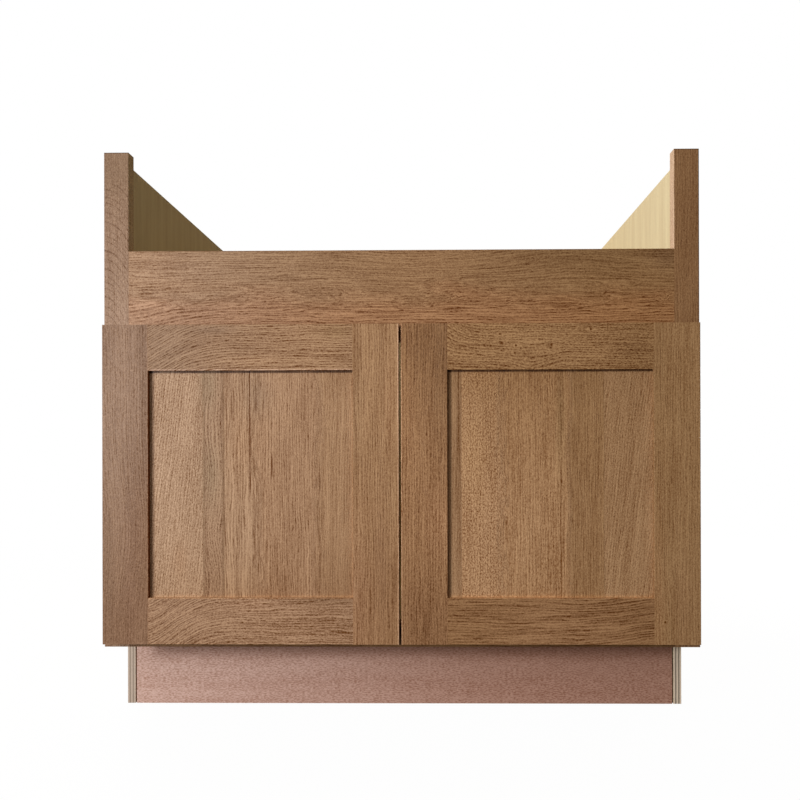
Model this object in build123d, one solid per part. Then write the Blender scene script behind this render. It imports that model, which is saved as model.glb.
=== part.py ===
"""A farmhouse sink base cabinet: plywood carcass, solid wood face frame and two shaker doors.

Units are millimetres, +Z is up, the front is at -Y and +X is to the right as seen from the
front. The origin is at the centre of the footprint, doors included, on the floor.
"""

from build123d import *
import os
from math import sqrt

# ---------------------------------------------------------------- driving dimensions
# Overall
CABINET_WIDTH = 914.4
CABINET_HEIGHT = 876.3
CABINET_DEPTH = 609.6  # wall to the front of the face frame, without the doors
TOE_KICK_HEIGHT = 114.3
TOE_KICK_DEPTH = 76.2

# Face frame
FRAME_THICKNESS = 19.05
FRAME_STILE_WIDTH = 38.1
APRON_RAIL_HEIGHT = 139.7
APRON_TOP_DROP = 152.4  # from the top of the stiles down to the apron rail
BOTTOM_RAIL_HEIGHT = 38.1
STILE_GROOVE_DEPTH = 6.35  # groove in the stile's back that holds the side panel

ARRIS_RADIUS = 0.8  # sanded-off edges that show on the face frame and inside the doors

# Carcass boards
SIDE_THICKNESS = 12.7
SIDE_INSET = 3.175  # side panel's outer face inside the stile's outer edge
FLOOR_THICKNESS = 12.7
DADO_DEPTH = 6.35
BACK_THICKNESS = 6.35
RABBET_WIDTH = 6.35
HANGING_RAIL_HEIGHT = 88.9
HANGING_RAIL_THICKNESS = 19.05
BASE_RAIL_THICKNESS = 12.7
TOE_BOARD_THICKNESS = 12.7
TOE_BOARD_END_GAP = 2.0
TOE_BLOCK_WIDTH = 31.75
TOE_BLOCK_THICKNESS = 19.05
TOE_BLOCK_HEIGHT = 101.6

# Doors
DOOR_THICKNESS = 19.05
DOOR_SIDE_OVERLAY = 31.75  # door past the stile's inner edge, set by the kind of hinge
DOOR_TOP_OVERLAY = 23.0  # door past the apron rail's lower edge
DOOR_BOTTOM_REVEAL = 9.525  # frame that shows under the doors
DOOR_MEETING_GAP = 3.2
DOOR_BACK_GAP = 2.5  # between the closed door and the frame
DOOR_MEMBER_WIDTH = 69.85
DOOR_EDGE_RADIUS = 1.0
PANEL_THICKNESS = 6.35
PANEL_RECESS = 6.35
PANEL_GROOVE_DEPTH = 10.0
PANEL_EDGE_GAP = 2.0  # room for the panel to move in its grooves
SPACER_LENGTH = 12.0
SPACER_INSET = 60.0  # spacer centre from the panel's corner
BUMPER_RADIUS = 4.0
BUMPER_SIDE_INSET = 20.0  # bumper centre from the meeting edge

# Hinges: a cup bored into the door's back, and an arm round the stile's inner edge
HINGE_END_INSET = 89.0  # cup centre from the door's top or bottom
CUP_RADIUS = 17.45
CUP_EDGE_DISTANCE = 3.0  # door's outer edge to the rim of the bore
CUP_DEPTH = 13.5
CUP_FLOOR = 0.8
CUP_WALL = 1.0
CUP_FLANGE_THICKNESS = 1.2
CUP_FLANGE_OUTER_INSET = 4.5  # flange's outer edge from the door's outer edge
CUP_FLANGE_MARGIN = 1.5  # flange beyond the cup
CUP_WING_HALF_LENGTH = 29.0
CUP_LUG_WIDTH = 8.0  # metal beside the arm that carries the pin
CUP_SCREW_HALF_PITCH = 22.5
CUP_SCREW_OFFSET = 9.5  # screw line from the cup's centre
PIN_EDGE_DISTANCE = 7.2  # pin axis from the door's outer edge
PIN_DEPTH = 10.2  # pin axis from the door's back
PIN_RADIUS = 1.2
PIN_HALF_LENGTH = 8.5
EYE_RADIUS = 2.2
ARM_HALF_WIDTH = 4.0
ARM_THICKNESS = 1.8
ARM_RISE = 1.1  # arm's middle line past the pin axis, towards the door's front
ARM_BEND_RADIUS = 1.2
ARM_PLATE_HALF_LENGTH = 22.0
ARM_PLATE_MARGIN = 2.0  # plate inside the front and back of the frame
ARM_SCREW_HALF_PITCH = 16.0

# Fasteners
DOWEL_RADIUS = 4.0
DOWEL_LENGTH = 38.0
APRON_DOWEL_PITCH = 42.0
APRON_DOWEL_COUNT = 3
BRAD_RADIUS = 0.8
BRAD_LENGTH = 19.0
BRAD_PITCH = 150.0
BRAD_END_INSET = 40.0
SCREW_RADIUS = 1.75
SCREW_LENGTH = 14.0
SCREW_HEAD_RADIUS = 3.4
SCREW_HEAD_HEIGHT = 1.6
CUP_SCREW_LENGTH = 12.0
CUP_SCREW_HEAD_HEIGHT = 0.8  # thin heads, because the door closes onto the frame

# Clearances
GROOVE_END_GAP = 0.5  # glue room past the end of a tongue
GLUE_CLEARANCE = 0.05  # round a dowel, screw or brad in its hole
CUP_CLEARANCE = 0.05
RUNNING_CLEARANCE = 0.05  # hinge eye on its pin
ARM_CLEARANCE = 0.4  # beside the arm in the cup
BUMPER_CLEARANCE = 0.2  # bumper to the frame with the door closed
PANEL_CLEARANCE = 0.1  # on each face of the panel in its groove

# ---------------------------------------------------------------- derived planes and sizes
DOOR_STAND_OFF = DOOR_BACK_GAP + DOOR_THICKNESS
OVERALL_DEPTH = CABINET_DEPTH + DOOR_STAND_OFF
BACK_Y = OVERALL_DEPTH / 2
FRAME_FRONT_Y = BACK_Y - CABINET_DEPTH
FRAME_BACK_Y = FRAME_FRONT_Y + FRAME_THICKNESS
FRAME_MIDDLE_Y = (FRAME_FRONT_Y + FRAME_BACK_Y) / 2
BACK_PANEL_FRONT_Y = BACK_Y - BACK_THICKNESS
TOE_FRONT_Y = FRAME_FRONT_Y + TOE_KICK_DEPTH
TOE_BOARD_BACK_Y = TOE_FRONT_Y + TOE_BOARD_THICKNESS
DOOR_BACK_Y = FRAME_FRONT_Y - DOOR_BACK_GAP
DOOR_FRONT_Y = DOOR_BACK_Y - DOOR_THICKNESS

FRAME_OUTER_X = CABINET_WIDTH / 2
FRAME_INNER_X = FRAME_OUTER_X - FRAME_STILE_WIDTH
SIDE_OUTER_X = FRAME_OUTER_X - SIDE_INSET
SIDE_INNER_X = SIDE_OUTER_X - SIDE_THICKNESS
RABBET_X = SIDE_INNER_X + RABBET_WIDTH
DOOR_OUTER_X = FRAME_INNER_X + DOOR_SIDE_OVERLAY
DOOR_MEETING_X = DOOR_MEETING_GAP / 2

APRON_TOP_Z = CABINET_HEIGHT - APRON_TOP_DROP
APRON_BOTTOM_Z = APRON_TOP_Z - APRON_RAIL_HEIGHT
BOTTOM_RAIL_TOP_Z = TOE_KICK_HEIGHT + BOTTOM_RAIL_HEIGHT
FLOOR_TOP_Z = BOTTOM_RAIL_TOP_Z
FLOOR_BOTTOM_Z = FLOOR_TOP_Z - FLOOR_THICKNESS
HANGING_RAIL_BOTTOM_Z = CABINET_HEIGHT - HANGING_RAIL_HEIGHT
HANGING_RAIL_FRONT_Y = BACK_PANEL_FRONT_Y - HANGING_RAIL_THICKNESS
DOOR_BOTTOM_Z = TOE_KICK_HEIGHT + DOOR_BOTTOM_REVEAL
DOOR_TOP_Z = APRON_BOTTOM_Z + DOOR_TOP_OVERLAY
HINGE_HEIGHTS = {"upper": DOOR_TOP_Z - HINGE_END_INSET, "lower": DOOR_BOTTOM_Z + HINGE_END_INSET}

CUP_CENTRE = CUP_EDGE_DISTANCE + CUP_RADIUS + CUP_CLEARANCE
SCREW_LINE = CUP_CENTRE + CUP_SCREW_OFFSET
ARM_SLOT_HALF_WIDTH = ARM_HALF_WIDTH + ARM_CLEARANCE
GROOVE_WIDTH = PANEL_THICKNESS + 2 * PANEL_CLEARANCE
PANEL_BITE = PANEL_GROOVE_DEPTH - PANEL_EDGE_GAP  # how far the panel enters its groove
BUMPER_THICKNESS = DOOR_BACK_GAP - BUMPER_CLEARANCE


# ---------------------------------------------------------------- shared shapes
def board(x, y, z):
    """A square-edged board that fills three (low, high) spans."""
    spans = (x, y, z)
    size = [high - low for low, high in spans]
    centre = [(high + low) / 2 for low, high in spans]
    return Pos(*centre) * Box(*size)


def rod_x(centre, radius, length):
    """A round rod along X about its centre."""
    return Pos(*centre) * Rot(0, 90, 0) * Cylinder(radius, length)


def rod_y(centre, radius, length):
    """A round rod along Y about its centre."""
    return Pos(*centre) * Rot(90, 0, 0) * Cylinder(radius, length)


def arris_z(x, into, z, y):
    """What rounding takes off an upright front arris; the wood lies on the into side of x."""
    centre = (x + into * ARRIS_RADIUS, y + ARRIS_RADIUS, (z[0] + z[1]) / 2)
    waste = board(sorted((x, centre[0])), (y, centre[1]), z)
    return waste - Pos(*centre) * Cylinder(ARRIS_RADIUS, z[1] - z[0])


def arris_x(z, into, x, y):
    """What rounding takes off a level front arris; the wood lies on the into side of z."""
    centre = ((x[0] + x[1]) / 2, y + ARRIS_RADIUS, z + into * ARRIS_RADIUS)
    waste = board(x, (y, centre[1]), sorted((z, centre[2])))
    return waste - rod_x(centre, ARRIS_RADIUS, x[1] - x[0])


def to_right(piece):
    """The right-hand twin of a left-hand piece."""
    return mirror(piece, about=Plane.YZ)


def spread(low, high, pitch):
    """Evenly spaced places from low to high, no further apart than the pitch."""
    steps = max(1, int((high - low) / pitch) + 1)
    return [low + (high - low) * step / steps for step in range(steps + 1)]


# ---------------------------------------------------------------- fastener places
def dowel_places():
    """Centres of the face frame's dowels at the left-hand joints."""
    middle = (APRON_TOP_Z + APRON_BOTTOM_Z) / 2
    first = middle - APRON_DOWEL_PITCH * (APRON_DOWEL_COUNT - 1) / 2
    heights = [first + APRON_DOWEL_PITCH * index for index in range(APRON_DOWEL_COUNT)]
    heights.append((TOE_KICK_HEIGHT + BOTTOM_RAIL_TOP_Z) / 2)
    return [(-FRAME_INNER_X, FRAME_MIDDLE_Y, height) for height in heights]


def dowel_bores():
    """The holes for the left-hand dowels, one in each member's half of the joint."""
    length = DOWEL_LENGTH + 2 * GROOVE_END_GAP
    return [rod_x(place, DOWEL_RADIUS + GLUE_CLEARANCE, length) for place in dowel_places()]


def side_brad_places():
    """Brads along the left side panel's rear edge, as (x, z)."""
    x = -(SIDE_INNER_X + RABBET_WIDTH / 2)
    heights = spread(BRAD_END_INSET, CABINET_HEIGHT - BRAD_END_INSET, BRAD_PITCH)
    return [(x, height) for height in heights]


def rail_brad_places():
    """Brads into the hanging rail, the floor panel and the rear base rail, as (x, z)."""
    reach = SIDE_INNER_X - BRAD_END_INSET
    heights = (
        CABINET_HEIGHT - HANGING_RAIL_HEIGHT / 2,
        (FLOOR_TOP_Z + FLOOR_BOTTOM_Z) / 2,
        FLOOR_BOTTOM_Z / 2,
    )
    return [(x, height) for height in heights for x in spread(-reach, reach, BRAD_PITCH)]


def brads(places, clearance=0.0):
    """Brads driven forwards from the back panel's rear face, or their holes."""
    length = BRAD_LENGTH + clearance
    return [rod_y((x, BACK_Y - length / 2, z), BRAD_RADIUS + clearance, length) for x, z in places]


def arm_screw_places(height):
    """Screw centres on the left stile's inner edge for the hinge arm at a height."""
    return [
        (-FRAME_INNER_X, FRAME_MIDDLE_Y, height + side * ARM_SCREW_HALF_PITCH) for side in (-1, 1)
    ]


def arm_screw_bores(height):
    """The screw holes through the arm's plate and into the left stile."""
    length = SCREW_LENGTH + 2 * GROOVE_END_GAP
    shift = ARM_THICKNESS + GROOVE_END_GAP - length / 2
    return [
        rod_x((x + shift, y, z), SCREW_RADIUS + GLUE_CLEARANCE, length)
        for x, y, z in arm_screw_places(height)
    ]


# ---------------------------------------------------------------- carcass
def side_panel():
    """The left side panel with its toe notch, floor dado and back rabbet."""
    x = (-SIDE_OUTER_X, -SIDE_INNER_X)
    front = FRAME_BACK_Y - STILE_GROOVE_DEPTH + GROOVE_END_GAP
    panel = board(x, (front, BACK_Y), (0, CABINET_HEIGHT))
    panel -= board(x, (front, TOE_FRONT_Y), (0, TOE_KICK_HEIGHT))
    dado_x = (-SIDE_INNER_X - DADO_DEPTH, -SIDE_INNER_X)
    panel -= board(dado_x, (FRAME_BACK_Y, BACK_Y), (FLOOR_BOTTOM_Z, FLOOR_TOP_Z))
    panel -= board((-RABBET_X, -SIDE_INNER_X), (BACK_PANEL_FRONT_Y, BACK_Y), (0, CABINET_HEIGHT))
    return panel - brads(side_brad_places(), GLUE_CLEARANCE)


def floor_panel():
    """The floor board, tongued into both side panels."""
    reach = SIDE_INNER_X + DADO_DEPTH - GROOVE_END_GAP
    panel = board(
        (-reach, reach), (FRAME_BACK_Y, BACK_PANEL_FRONT_Y), (FLOOR_BOTTOM_Z, FLOOR_TOP_Z)
    )
    return panel - brads(rail_brad_places(), GLUE_CLEARANCE)


def back_panel():
    """The thin back board, let into the rabbets of both side panels."""
    panel = board((-RABBET_X, RABBET_X), (BACK_PANEL_FRONT_Y, BACK_Y), (0, CABINET_HEIGHT))
    left = brads(side_brad_places(), GLUE_CLEARANCE)
    right = [to_right(brad) for brad in left]
    return panel - (left + right + brads(rail_brad_places(), GLUE_CLEARANCE))


def hanging_rail():
    """The solid rail across the top of the back, screwed to the wall."""
    rail = board(
        (-SIDE_INNER_X, SIDE_INNER_X),
        (HANGING_RAIL_FRONT_Y, BACK_PANEL_FRONT_Y),
        (HANGING_RAIL_BOTTOM_Z, CABINET_HEIGHT),
    )
    return rail - brads(rail_brad_places(), GLUE_CLEARANCE)


def rear_base_rail():
    """The rail under the back of the floor board."""
    rail = board(
        (-SIDE_INNER_X, SIDE_INNER_X),
        (BACK_PANEL_FRONT_Y - BASE_RAIL_THICKNESS, BACK_PANEL_FRONT_Y),
        (0, FLOOR_BOTTOM_Z),
    )
    return rail - brads(rail_brad_places(), GLUE_CLEARANCE)


def toe_kick_board():
    """The recessed board that closes the toe space, with a gap at each end."""
    reach = SIDE_INNER_X - TOE_BOARD_END_GAP
    return board((-reach, reach), (TOE_FRONT_Y, TOE_BOARD_BACK_Y), (0, FLOOR_BOTTOM_Z))


def toe_kick_block():
    """The left glue block that ties the toe kick board to the side panel."""
    return board(
        (-SIDE_INNER_X, -SIDE_INNER_X + TOE_BLOCK_WIDTH),
        (TOE_BOARD_BACK_Y, TOE_BOARD_BACK_Y + TOE_BLOCK_THICKNESS),
        (FLOOR_BOTTOM_Z - TOE_BLOCK_HEIGHT, FLOOR_BOTTOM_Z),
    )


# ---------------------------------------------------------------- face frame
def frame_stile():
    """The left face-frame stile, grooved at the back for the side panel."""
    z = (TOE_KICK_HEIGHT, CABINET_HEIGHT)
    stile = board((-FRAME_OUTER_X, -FRAME_INNER_X), (FRAME_FRONT_Y, FRAME_BACK_Y), z)
    groove_y = (FRAME_BACK_Y - STILE_GROOVE_DEPTH, FRAME_BACK_Y)
    stile -= board((-SIDE_OUTER_X, -SIDE_INNER_X), groove_y, z)
    stile -= arris_z(-FRAME_OUTER_X, 1, z, FRAME_FRONT_Y)
    stile -= arris_z(-FRAME_INNER_X, -1, (APRON_TOP_Z, CABINET_HEIGHT), FRAME_FRONT_Y)
    stile -= dowel_bores()
    for height in HINGE_HEIGHTS.values():
        stile -= arm_screw_bores(height)
    return stile


def frame_rail(z, eased_z, into):
    """A face-frame rail with one eased arris, bored at both ends for dowels."""
    x = (-FRAME_INNER_X, FRAME_INNER_X)
    rail = board(x, (FRAME_FRONT_Y, FRAME_BACK_Y), z)
    rail -= arris_x(eased_z, into, x, FRAME_FRONT_Y)
    left = dowel_bores()
    return rail - (left + [to_right(bore) for bore in left])


def face_frame_dowels():
    """The dowels that join the rails to the stiles."""
    left = [rod_x(place, DOWEL_RADIUS, DOWEL_LENGTH) for place in dowel_places()]
    return Compound(left + [to_right(dowel) for dowel in left])


def back_panel_brads():
    """The brads that hold the back panel."""
    left = brads(side_brad_places())
    return Compound(left + [to_right(brad) for brad in left] + brads(rail_brad_places()))


# ---------------------------------------------------------------- doors
def ease_outer_edges(member, outer_x=None, outer_z=None):
    """Round the front and back edges of a door member on its outer side."""
    edges = ShapeList()
    for edge in member.edges():
        middle = edge.center()
        on_face = min(abs(middle.Y - DOOR_FRONT_Y), abs(middle.Y - DOOR_BACK_Y)) < 1e-6
        on_side = outer_x is not None and abs(middle.X - outer_x) < 1e-6
        on_end = outer_z is not None and abs(middle.Z - outer_z) < 1e-6
        if on_face and (on_side or on_end):
            edges.append(edge)
    return fillet(edges, DOOR_EDGE_RADIUS)


def opening_z():
    """The Z span between the left door's rails."""
    return (DOOR_BOTTOM_Z + DOOR_MEMBER_WIDTH, DOOR_TOP_Z - DOOR_MEMBER_WIDTH)


def groove_y(clearance=0.0):
    """The Y span of the panel groove, or of what fits in it with a clearance."""
    front = DOOR_FRONT_Y + PANEL_RECESS - PANEL_CLEARANCE
    return (front + clearance, front + GROOVE_WIDTH - clearance)


def cup_bore(height):
    """The blind bore for a hinge cup in the left door's hinge stile."""
    depth = CUP_DEPTH + CUP_CLEARANCE
    centre = (-DOOR_OUTER_X + CUP_CENTRE, DOOR_BACK_Y - depth / 2, height)
    return rod_y(centre, CUP_RADIUS + CUP_CLEARANCE, depth)


def cup_screw_places(height):
    """Screw centres on the left door's back for the cup at a height."""
    x = -DOOR_OUTER_X + SCREW_LINE
    return [(x, DOOR_BACK_Y, height + side * CUP_SCREW_HALF_PITCH) for side in (-1, 1)]


def cup_screw_bores(height):
    """The screw holes through the cup's flange and into the hinge stile."""
    length = CUP_SCREW_LENGTH + 2 * GROOVE_END_GAP
    shift = CUP_FLANGE_THICKNESS + GROOVE_END_GAP - length / 2
    return [
        rod_y((x, y + shift, z), SCREW_RADIUS + GLUE_CLEARANCE, length)
        for x, y, z in cup_screw_places(height)
    ]


def door_hinge_stile():
    """The left door's outer upright, bored for both hinge cups."""
    inner = -DOOR_OUTER_X + DOOR_MEMBER_WIDTH
    stile = board((-DOOR_OUTER_X, inner), (DOOR_FRONT_Y, DOOR_BACK_Y), (DOOR_BOTTOM_Z, DOOR_TOP_Z))
    stile = ease_outer_edges(stile, outer_x=-DOOR_OUTER_X)
    stile -= arris_z(inner, -1, opening_z(), DOOR_FRONT_Y)
    stile -= board((inner - PANEL_GROOVE_DEPTH, inner), groove_y(), (DOOR_BOTTOM_Z, DOOR_TOP_Z))
    for height in HINGE_HEIGHTS.values():
        stile -= cup_bore(height)
        stile -= cup_screw_bores(height)
    return stile


def door_meeting_stile():
    """The left door's upright at the middle of the cabinet."""
    inner = -DOOR_MEETING_X - DOOR_MEMBER_WIDTH
    stile = board((inner, -DOOR_MEETING_X), (DOOR_FRONT_Y, DOOR_BACK_Y), (DOOR_BOTTOM_Z, DOOR_TOP_Z))
    stile = ease_outer_edges(stile, outer_x=-DOOR_MEETING_X)
    stile -= arris_z(inner, 1, opening_z(), DOOR_FRONT_Y)
    return stile - board(
        (inner, inner + PANEL_GROOVE_DEPTH), groove_y(), (DOOR_BOTTOM_Z, DOOR_TOP_Z)
    )


def door_rail(outer_z, inner_z):
    """A rail of the left door, grooved for the panel and tongued into both stiles."""
    z = (min(outer_z, inner_z), max(outer_z, inner_z))
    left = -DOOR_OUTER_X + DOOR_MEMBER_WIDTH
    right = -DOOR_MEETING_X - DOOR_MEMBER_WIDTH
    rail = board((left, right), (DOOR_FRONT_Y, DOOR_BACK_Y), z)
    rail = ease_outer_edges(rail, outer_z=outer_z)
    rail -= arris_x(inner_z, 1 if outer_z > inner_z else -1, (left, right), DOOR_FRONT_Y)
    tongue = PANEL_GROOVE_DEPTH - GROOVE_END_GAP
    rail += board((left - tongue, right + tongue), groove_y(), z)
    into_rail = PANEL_GROOVE_DEPTH if outer_z > inner_z else -PANEL_GROOVE_DEPTH
    groove_z = (min(inner_z, inner_z + into_rail), max(inner_z, inner_z + into_rail))
    return rail - board((left - tongue, right + tongue), groove_y(), groove_z)


def panel_spans():
    """The (x, z) spans of the left door's panel, edges in the grooves included."""
    left = -DOOR_OUTER_X + DOOR_MEMBER_WIDTH - PANEL_BITE
    right = -DOOR_MEETING_X - DOOR_MEMBER_WIDTH + PANEL_BITE
    bottom = DOOR_BOTTOM_Z + DOOR_MEMBER_WIDTH - PANEL_BITE
    top = DOOR_TOP_Z - DOOR_MEMBER_WIDTH + PANEL_BITE
    return (left, right), (bottom, top)


def door_panel():
    """The left door's flat centre panel, free in its grooves."""
    x, z = panel_spans()
    return board(x, groove_y(PANEL_CLEARANCE), z)


def door_panel_spacers():
    """The rubber spacers that keep the left door's panel centred in its grooves."""
    (left, right), (bottom, top) = panel_spans()
    y = groove_y(PANEL_CLEARANCE)
    half = SPACER_LENGTH / 2
    spacers = []
    for x in (left + SPACER_INSET, right - SPACER_INSET):
        spacers.append(board((x - half, x + half), y, (bottom - PANEL_EDGE_GAP, bottom)))
        spacers.append(board((x - half, x + half), y, (top, top + PANEL_EDGE_GAP)))
    for z in (bottom + SPACER_INSET, top - SPACER_INSET):
        spacers.append(board((left - PANEL_EDGE_GAP, left), y, (z - half, z + half)))
        spacers.append(board((right, right + PANEL_EDGE_GAP), y, (z - half, z + half)))
    return Compound(spacers)


def door_bumpers():
    """The soft buttons on the left door's back, midway over each rail's overlap."""
    x = -DOOR_MEETING_X - BUMPER_SIDE_INSET
    y = DOOR_BACK_Y + BUMPER_THICKNESS / 2
    heights = ((DOOR_BOTTOM_Z + BOTTOM_RAIL_TOP_Z) / 2, (DOOR_TOP_Z + APRON_BOTTOM_Z) / 2)
    return Compound([rod_y((x, y, z), BUMPER_RADIUS, BUMPER_THICKNESS) for z in heights])


# ---------------------------------------------------------------- hinges
def hinge_x(inset):
    """The X of a place given by its distance from the left door's outer edge."""
    return -DOOR_OUTER_X + inset


def hinge_y(depth):
    """The Y of a place given by its depth into the closed door from its back."""
    return DOOR_BACK_Y - depth


def pin_centre(height):
    """The hinge axis of the left door at a height."""
    return (hinge_x(PIN_EDGE_DISTANCE), hinge_y(PIN_DEPTH), height)


def hinge_cup(height):
    """A hinge cup: round body, two lugs for the pin, and a flange with two wings."""
    centre_x = hinge_x(CUP_CENTRE)
    cup = rod_y((centre_x, hinge_y(CUP_DEPTH / 2), height), CUP_RADIUS, CUP_DEPTH)
    flange_y = (DOOR_BACK_Y, DOOR_BACK_Y + CUP_FLANGE_THICKNESS)
    flange_right = hinge_x(CUP_CENTRE + CUP_RADIUS + CUP_FLANGE_MARGIN)
    reach = CUP_RADIUS + CUP_FLANGE_MARGIN
    cup += board(
        (hinge_x(CUP_FLANGE_OUTER_INSET), flange_right), flange_y, (height - reach, height + reach)
    )
    wing_z = (height - CUP_WING_HALF_LENGTH, height + CUP_WING_HALF_LENGTH)
    cup += board((centre_x, flange_right), flange_y, wing_z)
    hollow_depth = CUP_DEPTH - CUP_FLOOR + CUP_FLANGE_THICKNESS
    hollow_middle = DOOR_BACK_Y + CUP_FLANGE_THICKNESS - hollow_depth / 2
    hollow_radius = CUP_RADIUS - CUP_WALL
    hollow = rod_y((centre_x, hollow_middle, height), hollow_radius, hollow_depth)
    hollow_y = (hinge_y(CUP_DEPTH - CUP_FLOOR), DOOR_BACK_Y + CUP_FLANGE_THICKNESS)
    hollow_z = (height - CUP_RADIUS, height + CUP_RADIUS)
    lug_x = (centre_x - CUP_RADIUS, hinge_x(CUP_EDGE_DISTANCE + CUP_LUG_WIDTH))
    hollow -= board(lug_x, hollow_y, hollow_z)
    slot_z = (height - ARM_SLOT_HALF_WIDTH, height + ARM_SLOT_HALF_WIDTH)
    slot_start = CUP_CENTRE - sqrt(hollow_radius**2 - ARM_SLOT_HALF_WIDTH**2) - ARM_CLEARANCE
    hollow += board((hinge_x(slot_start), centre_x), hollow_y, slot_z)
    cup -= hollow
    cup -= cup_screw_bores(height)
    pin_hole = Pos(*pin_centre(height)) * Cylinder(PIN_RADIUS + GLUE_CLEARANCE, 2 * PIN_HALF_LENGTH)
    return cup - pin_hole


def hinge_pin(height):
    """The pin across the cup's lugs that the arm turns on."""
    return Pos(*pin_centre(height)) * Cylinder(PIN_RADIUS, 2 * PIN_HALF_LENGTH)


def hinge_arm(height):
    """A hinge arm: eye on the pin, strip through the cup, and a plate on the stile's edge."""
    strip_middle = PIN_DEPTH + ARM_RISE
    strip_y = (hinge_y(strip_middle + ARM_THICKNESS / 2), hinge_y(strip_middle - ARM_THICKNESS / 2))
    leg_x = (hinge_x(DOOR_SIDE_OVERLAY), hinge_x(DOOR_SIDE_OVERLAY) + ARM_THICKNESS)
    width_z = (height - ARM_HALF_WIDTH, height + ARM_HALF_WIDTH)
    plate_y = (FRAME_FRONT_Y + ARM_PLATE_MARGIN, FRAME_BACK_Y - ARM_PLATE_MARGIN)
    plate_z = (height - ARM_PLATE_HALF_LENGTH, height + ARM_PLATE_HALF_LENGTH)
    arm = board((hinge_x(PIN_EDGE_DISTANCE), leg_x[1]), strip_y, width_z)
    arm += board(leg_x, (strip_y[0], plate_y[1]), width_z)
    bend = [
        edge
        for edge in arm.edges().filter_by(Axis.Z)
        if abs(edge.center().X - leg_x[1]) < 1e-6 and abs(edge.center().Y - strip_y[0]) < 1e-6
    ]
    arm = fillet(bend, ARM_BEND_RADIUS)
    arm += board(leg_x, plate_y, plate_z)
    arm += Pos(*pin_centre(height)) * Cylinder(EYE_RADIUS, 2 * ARM_HALF_WIDTH)
    arm -= Pos(*pin_centre(height)) * Cylinder(PIN_RADIUS + RUNNING_CLEARANCE, 2 * ARM_HALF_WIDTH)
    return arm - arm_screw_bores(height)


def screws_through(places, turn, plate, length, head_height):
    """Screws through a plate of a thickness, with their shanks pointing along the turned -Z."""
    screws = []
    for place in places:
        head = Pos(0, 0, plate + head_height / 2) * Cylinder(SCREW_HEAD_RADIUS, head_height)
        shank = Pos(0, 0, plate - length / 2) * Cylinder(SCREW_RADIUS, length)
        screws.append(Pos(*place) * turn * (head + shank))
    return screws


def hinge_arm_screws():
    """The screws that hold the left door's hinge arms to the stile."""
    places = [place for height in HINGE_HEIGHTS.values() for place in arm_screw_places(height)]
    turn = Rot(0, 90, 0)
    return Compound(screws_through(places, turn, ARM_THICKNESS, SCREW_LENGTH, SCREW_HEAD_HEIGHT))


def cup_screws():
    """The screws that hold the hinge cups to the left door."""
    places = [place for height in HINGE_HEIGHTS.values() for place in cup_screw_places(height)]
    turn = Rot(-90, 0, 0)
    return Compound(
        screws_through(
            places, turn, CUP_FLANGE_THICKNESS, CUP_SCREW_LENGTH, CUP_SCREW_HEAD_HEIGHT
        )
    )


# ---------------------------------------------------------------- assembly
def carcass_nodes():
    """The pieces of the carcass and face frame, by node name."""
    nodes = {
        "floor_panel": floor_panel(),
        "back_panel": back_panel(),
        "hanging_rail": hanging_rail(),
        "rear_base_rail": rear_base_rail(),
        "toe_kick_board": toe_kick_board(),
        "apron_rail": frame_rail((APRON_BOTTOM_Z, APRON_TOP_Z), APRON_TOP_Z, -1),
        "frame_bottom_rail": frame_rail(
            (TOE_KICK_HEIGHT, BOTTOM_RAIL_TOP_Z), TOE_KICK_HEIGHT, 1
        ),
        "face_frame_dowels": face_frame_dowels(),
        "back_panel_brads": back_panel_brads(),
    }
    handed = {
        "side_panel": side_panel(),
        "frame_stile": frame_stile(),
        "toe_kick_block": toe_kick_block(),
        "hinge_arm_screws": hinge_arm_screws(),
    }
    for level, height in HINGE_HEIGHTS.items():
        handed[f"hinge_arm_{level}"] = hinge_arm(height)
    for name, piece in handed.items():
        nodes[f"{name}_left"] = piece
        nodes[f"{name}_right"] = to_right(piece)
    return nodes


def door_nodes():
    """The pieces of both doors, by node name."""
    handed = {
        "hinge_stile": door_hinge_stile(),
        "meeting_stile": door_meeting_stile(),
        "top_rail": door_rail(DOOR_TOP_Z, DOOR_TOP_Z - DOOR_MEMBER_WIDTH),
        "bottom_rail": door_rail(DOOR_BOTTOM_Z, DOOR_BOTTOM_Z + DOOR_MEMBER_WIDTH),
        "panel": door_panel(),
        "panel_spacers": door_panel_spacers(),
        "bumpers": door_bumpers(),
        "cup_screws": cup_screws(),
    }
    for level, height in HINGE_HEIGHTS.items():
        handed[f"hinge_cup_{level}"] = hinge_cup(height)
        handed[f"hinge_pin_{level}"] = hinge_pin(height)
    nodes = {}
    for name, piece in handed.items():
        nodes[f"left_door_{name}"] = piece
        nodes[f"right_door_{name}"] = to_right(piece)
    return nodes


def main():
    """Write every piece to its own file."""
    os.makedirs("parts", exist_ok=True)
    for name, piece in {**carcass_nodes(), **door_nodes()}.items():
        export_step(piece, f"parts/{name}.step")


if __name__ == "__main__":
    main()
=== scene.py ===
"""Looks of a farmhouse sink base cabinet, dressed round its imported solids.

Metres, +Z up, the doors at -Y, +X to the right as seen from the front. The origin is on the
floor, at the centre of the footprint.
"""

import logging
import math
from collections.abc import Callable, Iterable, Iterator, Mapping, Sequence
from dataclasses import dataclass
from enum import Enum
from functools import cached_property

import bpy
from mathutils import Euler, Matrix, Vector

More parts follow.
